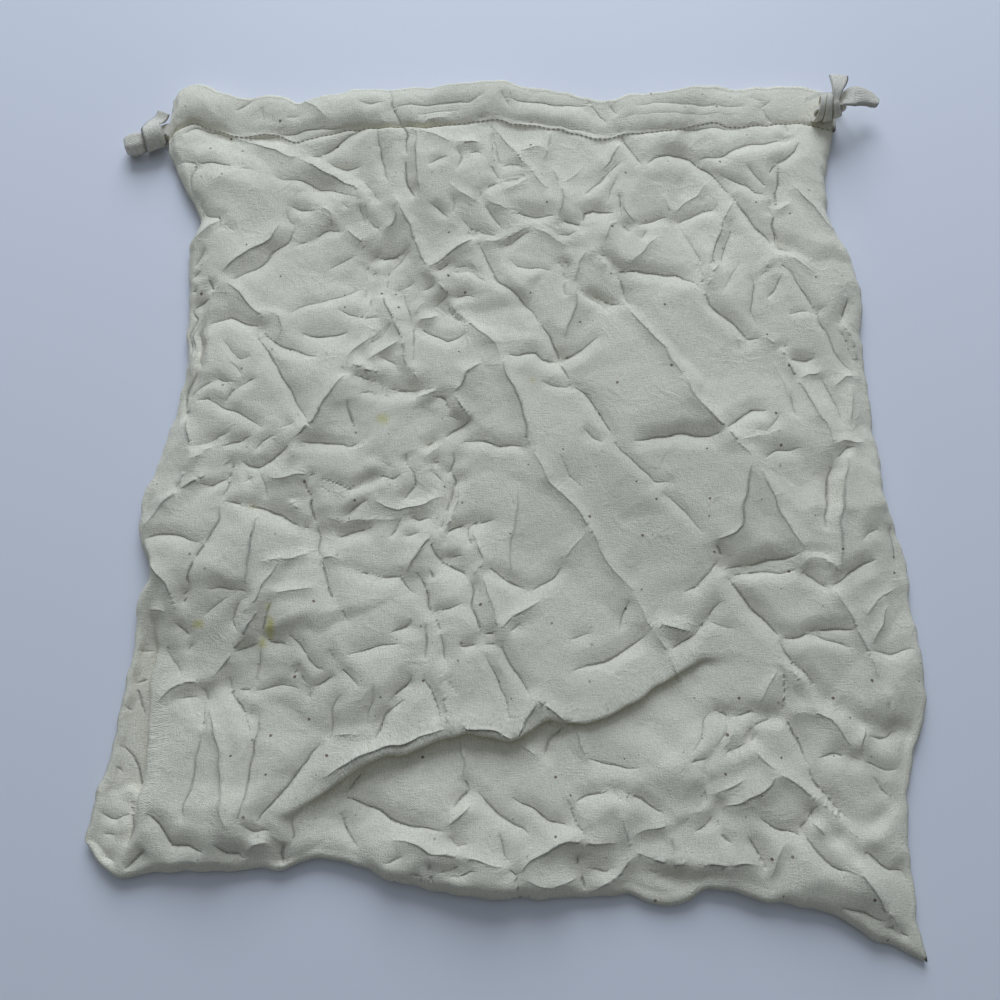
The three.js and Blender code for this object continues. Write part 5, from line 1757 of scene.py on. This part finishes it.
@dataclass
class BackPanel:
    """The back's cloth on the table, with its hem over the drawstring."""

    chart: BagChart
    strip_steps: int = 4
    lap_steps: int = 4
    field_steps: int = 92
    row_steps: int = 105
    outer_depths: tuple[float, ...] = (36, 32, 28, 24, 20, 16, 12, 8, 4)
    flap_depths: tuple[float, ...] = (4, 8, 12, 16, 20, 24, 28, FLAP_END)

    def sheet(self) -> Sheet:
        """Work out the grid of the cloth, from the foot to the mouth and back along the flap."""
        columns = Stations.laid(self.strip_steps, self.lap_steps, self.field_steps).along(0)
        part = (np.arange(self.row_steps) / self.row_steps).reshape(1, -1)

        def up_rows(across: Array) -> Array:
            """Return y of the rows from the share of the way across."""
            return lerp(ENDS.read("bottom", across), ENDS.read("top", across) - HEM_START, part)

        rows = []
        p = self.chart.settle(columns, up_rows)
        rows.append((p.x, p.y, BACK_MIDDLE + self.chart.edge_lift(p), p.y))
        for depth in self.outer_depths:
            p = self.chart.hem(columns, depth)
            rows.append((p.x, p.y, BACK_MIDDLE + self.chart.edge_lift(p), p.y))
        for degrees in TURN_ANGLES:
            p = self.chart.hem(columns, TURN_REACH)
            angle = math.radians(degrees)
            y = p.y + MOUTH_NOSE * math.cos(angle)
            z = BACK_MIDDLE + CHANNEL_RISE / 2 * (1 - math.sin(angle)) + 0 * p.x
            rows.append((p.x, y, z, p.y + TURN_REACH + TURN_LENGTH * (90 - degrees) / 180))
        for depth in self.flap_depths:
            p = self.chart.hem(columns, depth)
            z = BACK_MIDDLE + lerp(CHANNEL_RISE, LAYER_STEP, shut(depth)) + 0 * p.x
            rows.append((p.x, p.y, z, p.y + 2 * depth + TURN_REACH))
        points = np.concatenate([np.stack([x, y, z], -1) for x, y, z, _ in rows], axis=1)
        flat = np.concatenate([np.stack([x, v], -1) for x, _, _, v in rows], axis=1)
        return Sheet(self.chart.waved(points)[::-1], flat[::-1])

    def build(self, material: Material) -> bpy.types.Object:
        """Build the back, which replaces its solid."""
        points, flat, faces = self.sheet().faces()
        piece = make_object("back_panel_cloth", points, faces, material, flat)
        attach(piece, "root")
        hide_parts("back_panel")
        return piece


@dataclass
class Ring:
    """A cross-section of a tape.

    Attributes:
        at: Its middle, in mm.
        wide: Width there, in mm.
        thick: Thickness there, in mm.
        across: Direction of its width, where it is given.
        flat: Whether it lies level.
        square: Whether it also runs straight across the bag.
        lean: Turn of its width out of the level, in degrees.
    """

    at: Array
    wide: float = TAPE_WIDTH
    thick: float = TAPE_THICK
    across: Array | None = None
    flat: bool = False
    square: bool = False
    lean: float = 0.0


@dataclass
class Section:
    """A finished cross-section of a tape: its middle, two directions, width and thickness in mm."""

    middle: Array
    across: Array
    out: Array
    wide: float
    thick: float

    def toward(self, other: Section, share: float, middle: Array) -> Section:
        """Return the section at a share of the way to another, with a given middle."""
        across = unit(lerp(self.across, other.across, share))
        out = unit(lerp(self.out, other.out, share))
        wide = lerp(self.wide, other.wide, share)
        return Section(middle, across, out, wide, lerp(self.thick, other.thick, share))


@dataclass(frozen=True)
class Wraps:
    """Tape wound round an axis: 0 degrees is on top, 90 in front.

    Attributes:
        centre: Middle of the axis, in mm.
        axis: Its direction.
        radius: Distance of the tape's middle from the axis.
        taper: Share by which the radius shrinks towards both ends.
        wide: Width of the tape there.
        thick: Its thickness there.
        angles: First and last angle, in degrees.
        shifts: First and last place along the axis.
        crowd: How far the wraps crowd together on top.
        slant: How far the wraps shift towards the start at the back, and back again in front.
    """

    centre: tuple[float, float, float]
    axis: tuple[float, float, float]
    radius: float
    taper: float
    wide: float
    thick: float
    angles: tuple[float, float]
    shifts: tuple[float, float]
    crowd: float
    slant: float = 0.0

    def rings(self, step: float = 22.5) -> list[Ring]:
        """Return the rings along the wraps, a step of degrees apart."""
        axis = unit(np.array(self.axis, float))
        front = unit(np.cross(axis, (0, 0, 1)))
        top = np.cross(front, axis)
        count = round(abs(self.angles[1] - self.angles[0]) / step)
        rings = []
        for i in range(count + 1):
            share = i / count
            angle = math.radians(lerp(*self.angles, share))
            crowded = 1 - self.crowd * (0.5 + 0.5 * math.cos(angle))
            radius = self.radius * (1 - self.taper * (2 * share - 1) ** 2)
            at = np.array(self.centre, float) + axis * lerp(*self.shifts, share) * crowded
            at = at + top * radius * math.cos(angle) + front * radius * math.sin(angle)
            at = at - axis * self.slant * math.sin(angle) * (1 - (2 * share - 1) ** 6)
            rings.append(Ring(at, self.wide * crowded, self.thick, across=axis))
        return rings


def listed(rows: Sequence[tuple[float, ...]], flat: bool = False) -> list[Ring]:
    """Return rings from rows of x, y, z, width, thickness and, where given, lean in degrees."""
    return [
        Ring(np.array(row[:3], float), row[3], row[4], flat=flat, lean=row[5] if len(row) > 5 else 0.0)
        for row in rows
    ]


class Lane(Enum):
    """Where a tape runs in the channel, as the depth of its middle below the mouth edge."""

    UPPER = UPPER_LANE
    LOWER = LOWER_LANE


@dataclass
class Tie:
    """A drawstring tape: its free ends, its knot and its run through both channels."""

    chart: BagChart
    name: str
    node: str
    lane: Lane
    section_steps: int = 7
    refine: int = 4
    channel_steps: tuple[int, int, int] = (3, 2, 26)
    underside: float = 20.0  # how far the lower face lies from the upper one, laid flat

    def channel(self, front: bool) -> list[Ring]:
        """Return rings in the channel of the front or the back, from left to right."""
        p = self.chart.hem(Stations.laid(*self.channel_steps).along(0), self.lane.value)
        z = (self.chart.mouth_middle(p.across) if front else BACK_MIDDLE + 0 * p.x) + TAPE_RISE
        points = self.chart.waved(np.stack([p.x, p.y, z], -1)).reshape(-1, 3)
        return [Ring(at, square=True) for at in points]

    @staticmethod
    def side_turn(start: Ring, end: Ring, outwards: float) -> list[Ring]:
        """Return the rings of a tape's turn outside a side edge."""
        middle = (start.at + end.at) / 2
        half = (end.at[2] - start.at[2]) / 2
        rings = []
        for degrees in (-90, -60, -30, 0, 30, 60, 90):
            angle = math.radians(degrees)
            reach = SIDE_STUB + abs(half) * math.cos(angle)
            x = lerp(start.at[0], end.at[0], 0.5 + degrees / 180) + outwards * reach
            rings.append(Ring(np.array([x, middle[1], middle[2] + half * math.sin(angle)])))
        return rings

    @staticmethod
    def sections(rings: Sequence[Ring]) -> list[Section]:
        """Carry the direction of the width along the rings and return their sections."""
        across = np.array([1.0, 0.0, 0.0])
        result = []
        for k, ring in enumerate(rings):
            travel = rings[min(k + 1, len(rings) - 1)].at - rings[max(k - 1, 0)].at
            if ring.across is not None:
                across = ring.across
            if ring.square:
                travel = np.array([np.sign(travel[0]), 0.0, 0.0])
            if ring.flat:
                travel = travel * (1, 1, 0)
            travel = unit(travel)
            across = across - travel * across.dot(travel)
            if ring.square or ring.flat:
                across = across * (1, 1, 0)
            across = unit(across)
            lean = math.radians(ring.lean)
            wide = across * math.cos(lean) + np.cross(travel, across) * math.sin(lean)
            result.append(Section(ring.at, wide, unit(np.cross(travel, wide)), ring.wide, ring.thick))
        return result

    def refined(self, sections: Sequence[Section], fine: Sequence[bool]) -> list[Section]:
        """Add sections between those of the knot, on a smooth curve through their middles."""
        result = []
        last = len(sections) - 1
        for k in range(last):
            nearby = [sections[min(max(k + d, 0), last)] for d in (-1, 0, 1, 2)]
            before, start, end, after = (section.middle for section in nearby)
            steps = self.refine if fine[k] else 1
            for t in np.arange(steps) / steps:
                middle = 0.5 * (
                    2 * start
                    + (end - before) * t
                    + (2 * before - 5 * start + 4 * end - after) * t**2
                    + (3 * start - before - 3 * end + after) * t**3
                )
                result.append(nearby[1].toward(nearby[2], t, middle))
        result.append(sections[-1])
        return result

    def rings(self) -> tuple[list[Ring], list[bool]]:
        """Return the tape's rings from end to end, and which stretches are drawn finely."""
        raise NotImplementedError

    def build(self, material: Material) -> bpy.types.Object:
        """Build the tape, which replaces its solid."""
        rings, fine = self.rings()
        sections = self.refined(self.sections(rings), fine)
        shares = np.linspace(-0.5, 0.5, self.section_steps)
        edge = np.sqrt(np.clip(1 - (2 * shares) ** 8, 0, 1)) * 0.5
        profile = [*zip(shares, edge), *zip(shares[-2:0:-1], -edge[-2:0:-1])]
        count = len(profile)
        middles = np.array([section.middle for section in sections])
        places = np.concatenate([[0], np.cumsum(np.linalg.norm(np.diff(middles, axis=0), axis=1))])
        points, flat, faces = [], [], []
        for k, (section, along) in enumerate(zip(sections, places)):
            for w, t in profile:
                aside = section.across * w * section.wide
                points.append(section.middle + aside + section.out * t * section.thick)
                flat.append((w * TAPE_WIDTH + (self.underside if t < 0 else 0), along))
            for j in range(count if k else 0):
                a, b = (k - 1) * count + j, (k - 1) * count + (j + 1) % count
                faces.append((a, a + count, b + count, b))
        faces.append(tuple(range(count)))
        faces.append(tuple(len(points) - 1 - j for j in range(count)))
        piece = make_object(self.name, np.array(points), faces, material, np.array(flat))
        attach(piece, "root")
        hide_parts(self.node)
        return piece


class RightTie(Tie):
    """The tape whose knot stands on the mouth's right end."""

    TAB = (
        (202.6, 241.5, 23.8, 11.5, 1),
        (202.2, 238.2, 24.8, 11, 1),
        (201.4, 234, 25.5, 9, 1.1),
        (200.3, 229.6, 25.5, 6.2, 1.2),
    )
    WRAPS = Wraps(
        centre=(197, 224.5, 17), axis=(0.955, 0.07, 0.28), radius=7.2, taper=0.2, wide=6.3, thick=1.5,
        angles=(-720, 180), shifts=(8, -8.5), crowd=0.45, slant=1.1,
    )
    LOOP = (
        (189.8, 227.8, 9.1, 5, 1.4),
        (187.9, 230.2, 8.8, 4.8, 1.4),
        (186.9, 232.6, 8.8, 4.8, 1.4),
        (187.8, 235, 8.8, 5.2, 1.3),
        (190.6, 236.2, 8.8, 7, 1.1),
        (195, 236.4, 8.75, 9.5, 1),
        (201.8, 236, 8.7, 11, 1),
    )
    RISER = (
        (205.9, 235.9, 2.1, 11, 1),
        (207.5, 235.8, 4, 11, 1),
        (208.4, 235, 7.5, 10.5, 1),
        (208.9, 233, 11.5, 9.5, 1.2),
        (208.6, 229.6, 15.2, 8.5, 1.4),
        (206.4, 226.2, 16.9, 8, 1.5),
        (200.4, 224.9, 15.4, 8, 1.4),
        (195, 224.5, 13.9, 8, 1.3),
        (192.9, 224.4, 13.8, 8, 1.2),
        (191.5, 224.4, 14.8, 8, 1.2),
        (191.2, 224.4, 16.3, 8, 1.2),
        (192.1, 224.4, 17.6, 8, 1.2),
        (194.2, 224.5, 18.3, 8, 1.3),
        (199.6, 224.9, 19.4, 8, 1.4),
        (204.3, 225.6, 20.4, 9.5, 1.8),
        (208.6, 227.6, 20.3, 12.5, 2.6, 24),
        (212.6, 230.2, 19.2, 13, 3, 36),
        (217, 232, 17.3, 13, 3.4, 42),
        (221.5, 232.4, 15.2, 12.5, 4, 40),
        (225.5, 231.4, 13.6, 11, 4.4, 34),
        (228.6, 230.2, 12.8, 7, 3.6, 24),
    )

    def rings(self) -> tuple[list[Ring], list[bool]]:
        """Return the tape's rings from its upright tab to its curled end."""
        front = self.channel(front=True)[::-1]
        back = self.channel(front=False)
        loop = listed(self.LOOP, flat=True)
        knot = [*listed(self.TAB), *self.WRAPS.rings(), *loop, *self.side_turn(loop[-1], front[0], 1)]
        run = [*front, *self.side_turn(front[-1], back[0], -1), *back]
        tail = listed(self.RISER)
        return [*knot, *run, *tail], [True] * len(knot) + [False] * len(run) + [True] * len(tail)


class LeftTie(Tie):
    """The tape whose rolled end lies on the table at the mouth's left end."""

    FRAYED = (
        (-204.6, 227, 8.7, 8, 1),
        (-205.6, 224.4, 8.3, 8, 1),
        (-207.1, 221.9, 8.5, 8.5, 1, 5),
        (-208.5, 219.8, 9.5, 9, 1, 14),
        (-209.3, 217.9, 11, 10.5, 1, 24),
        (-209.6, 216.1, 12.4, 11.5, 1, 33),
    )
    WRAPS = Wraps(
        centre=(-208.9, 210, 8.4), axis=(0.914, 0.406, 0), radius=6.6, taper=0, wide=12.3, thick=1,
        angles=(-40, 130), shifts=(1, -1.6), crowd=0,
    )
    UNDER = (
        (-211.6, 209.8, 1.9, 7.5, 1.2),
        (-212.9, 213.2, 1.7, 7, 1.2),
        (-211.4, 216.4, 1.7, 7, 1.2),
        (-207.8, 217.4, 1.7, 8.5, 1.1),
    )
    ROLL = (
        (-204.6, 215.3, 6.6, 6.8, 1.8),
        (-206.4, 213.4, 7.6, 6.8, 2.8),
        (-208.3, 211.3, 8.1, 7.8, 4),
        (-210.8, 209.4, 8.4, 8.6, 5.6),
        (-214.2, 207.9, 8.2, 9.6, 6.6),
    )
    ROLLED_END = (
        (-216.4, 206.9, 7.5, 12.8, 9.4),
        (-219.2, 205.9, 6.9, 13.8, 10.4),
        (-223.5, 204.8, 6.5, 12.8, 9.8),
        (-226.2, 204.1, 6.3, 9.4, 6.8),
    )

    def rings(self) -> tuple[list[Ring], list[bool]]:
        """Return the tape's rings from its frayed end to its rolled end."""
        front = self.channel(front=True)[::-1]
        back = self.channel(front=False)
        under = [
            Ring(np.array([-209.6, 206, 2.8]), 9.5),
            *listed(self.UNDER, flat=True),
            Ring(np.array([-203.6, 216.9, 1.8]), 10.5, square=True),
        ]
        over = [
            Ring(np.array([-202, 216.2, 5.8]), 10.6, square=True),
            *listed(self.ROLL),
            *listed(self.ROLLED_END, flat=True),
        ]
        knot = [*listed(self.FRAYED), *self.WRAPS.rings(), *under]
        run = [*back, *self.side_turn(back[-1], front[0], 1), *front]
        return [*knot, *run, *over], [True] * len(knot) + [False] * len(run) + [True] * len(over)


@dataclass
class Studio:
    """The camera, the light and the table of the picture.

    Attributes:
        eye: Place of the camera on the chart, in mm.
        tilt: How far its view leans back from straight down, in degrees.
        view_angle: Its angle of view, in degrees.
    """

    eye: tuple[float, float, float] = (0, -168.1, 530.6)
    tilt: float = 16
    view_angle: float = 53

    def camera(self) -> None:
        """Place the camera where the photograph was taken."""
        data = bpy.data.cameras.new("camera")
        data.sensor_width = 36
        data.lens = 18 / math.tan(math.radians(self.view_angle / 2))
        data.clip_start = 0.01
        made = bpy.data.objects.new("camera", data)
        made.location = to_row(self.eye)
        made.rotation_euler = (math.radians(self.tilt), 0, 0)
        bpy.context.scene.collection.objects.link(made)
        bpy.context.scene.camera = made

    def light(self) -> None:
        """Hang a large soft light beyond the mouth and fill from all round."""
        self._area("window", (0.0, 2.1, 1.3), 1.6, 41, (0.855, 0.965, 1.15))
        self._area("ceiling", (0.0, 0.8, 1.3), 2.4, 7, (0.87, 0.97, 1.14))
        world = bpy.data.worlds.new("room")
        world.use_nodes = True
        ground = world.node_tree.nodes["Background"]
        ground.inputs["Color"].default_value = (0.82, 0.93, 1.06, 1)
        ground.inputs["Strength"].default_value = 0.12
        bpy.context.scene.world = world
        bpy.context.scene.view_settings.view_transform = "Standard"

    @staticmethod
    def _area(name: str, place: Sequence[float], size: float, power: float, colour: Sequence[float]) -> None:
        """Add a square light that faces the bag."""
        data = bpy.data.lights.new(name, "AREA")
        data.size = size
        data.energy = power
        data.color = colour
        made = bpy.data.objects.new(name, data)
        made.location = place
        made.rotation_euler = (-Vector(place)).to_track_quat("-Z", "Y").to_euler()
        bpy.context.scene.collection.objects.link(made)

    @staticmethod
    def table(material: Material) -> None:
        """Lay the table under the bag."""
        reach = 3000.0
        corners = [(x * reach, y * reach, 0) for x, y in ((-1, -1), (1, -1), (1, 1), (-1, 1))]
        make_object("table", np.array(corners), [(0, 1, 2, 3)], material)


def main() -> None:
    """Build the bag's pieces in order and report each of them."""
    logging.basicConfig(level=logging.INFO, format="%(name)s: %(message)s")
    studio = Studio()
    studio.camera()
    chart = BagChart()
    tape = CottonTape().build()
    calico = Calico().build()
    thread = SewingThread().build()
    front = FrontPanel(chart, Relief(Crease.all_listed(CREASES), CRUMPLE))
    pieces = [
        RightTie(chart, "tie_right_tape", "tie_right", Lane.UPPER).build(tape),
        LeftTie(chart, "tie_left_tape", "tie_left", Lane.LOWER).build(tape),
        BackPanel(chart).build(calico),
        front.build(calico),
        HemStitches(front.seam_line()).build(thread),
    ]
    for piece in pieces:
        log.info("%s has %d faces", piece.name, len(piece.data.polygons))
    studio.light()
    studio.table(Tabletop().build())


if __name__ == "__main__":
    main()
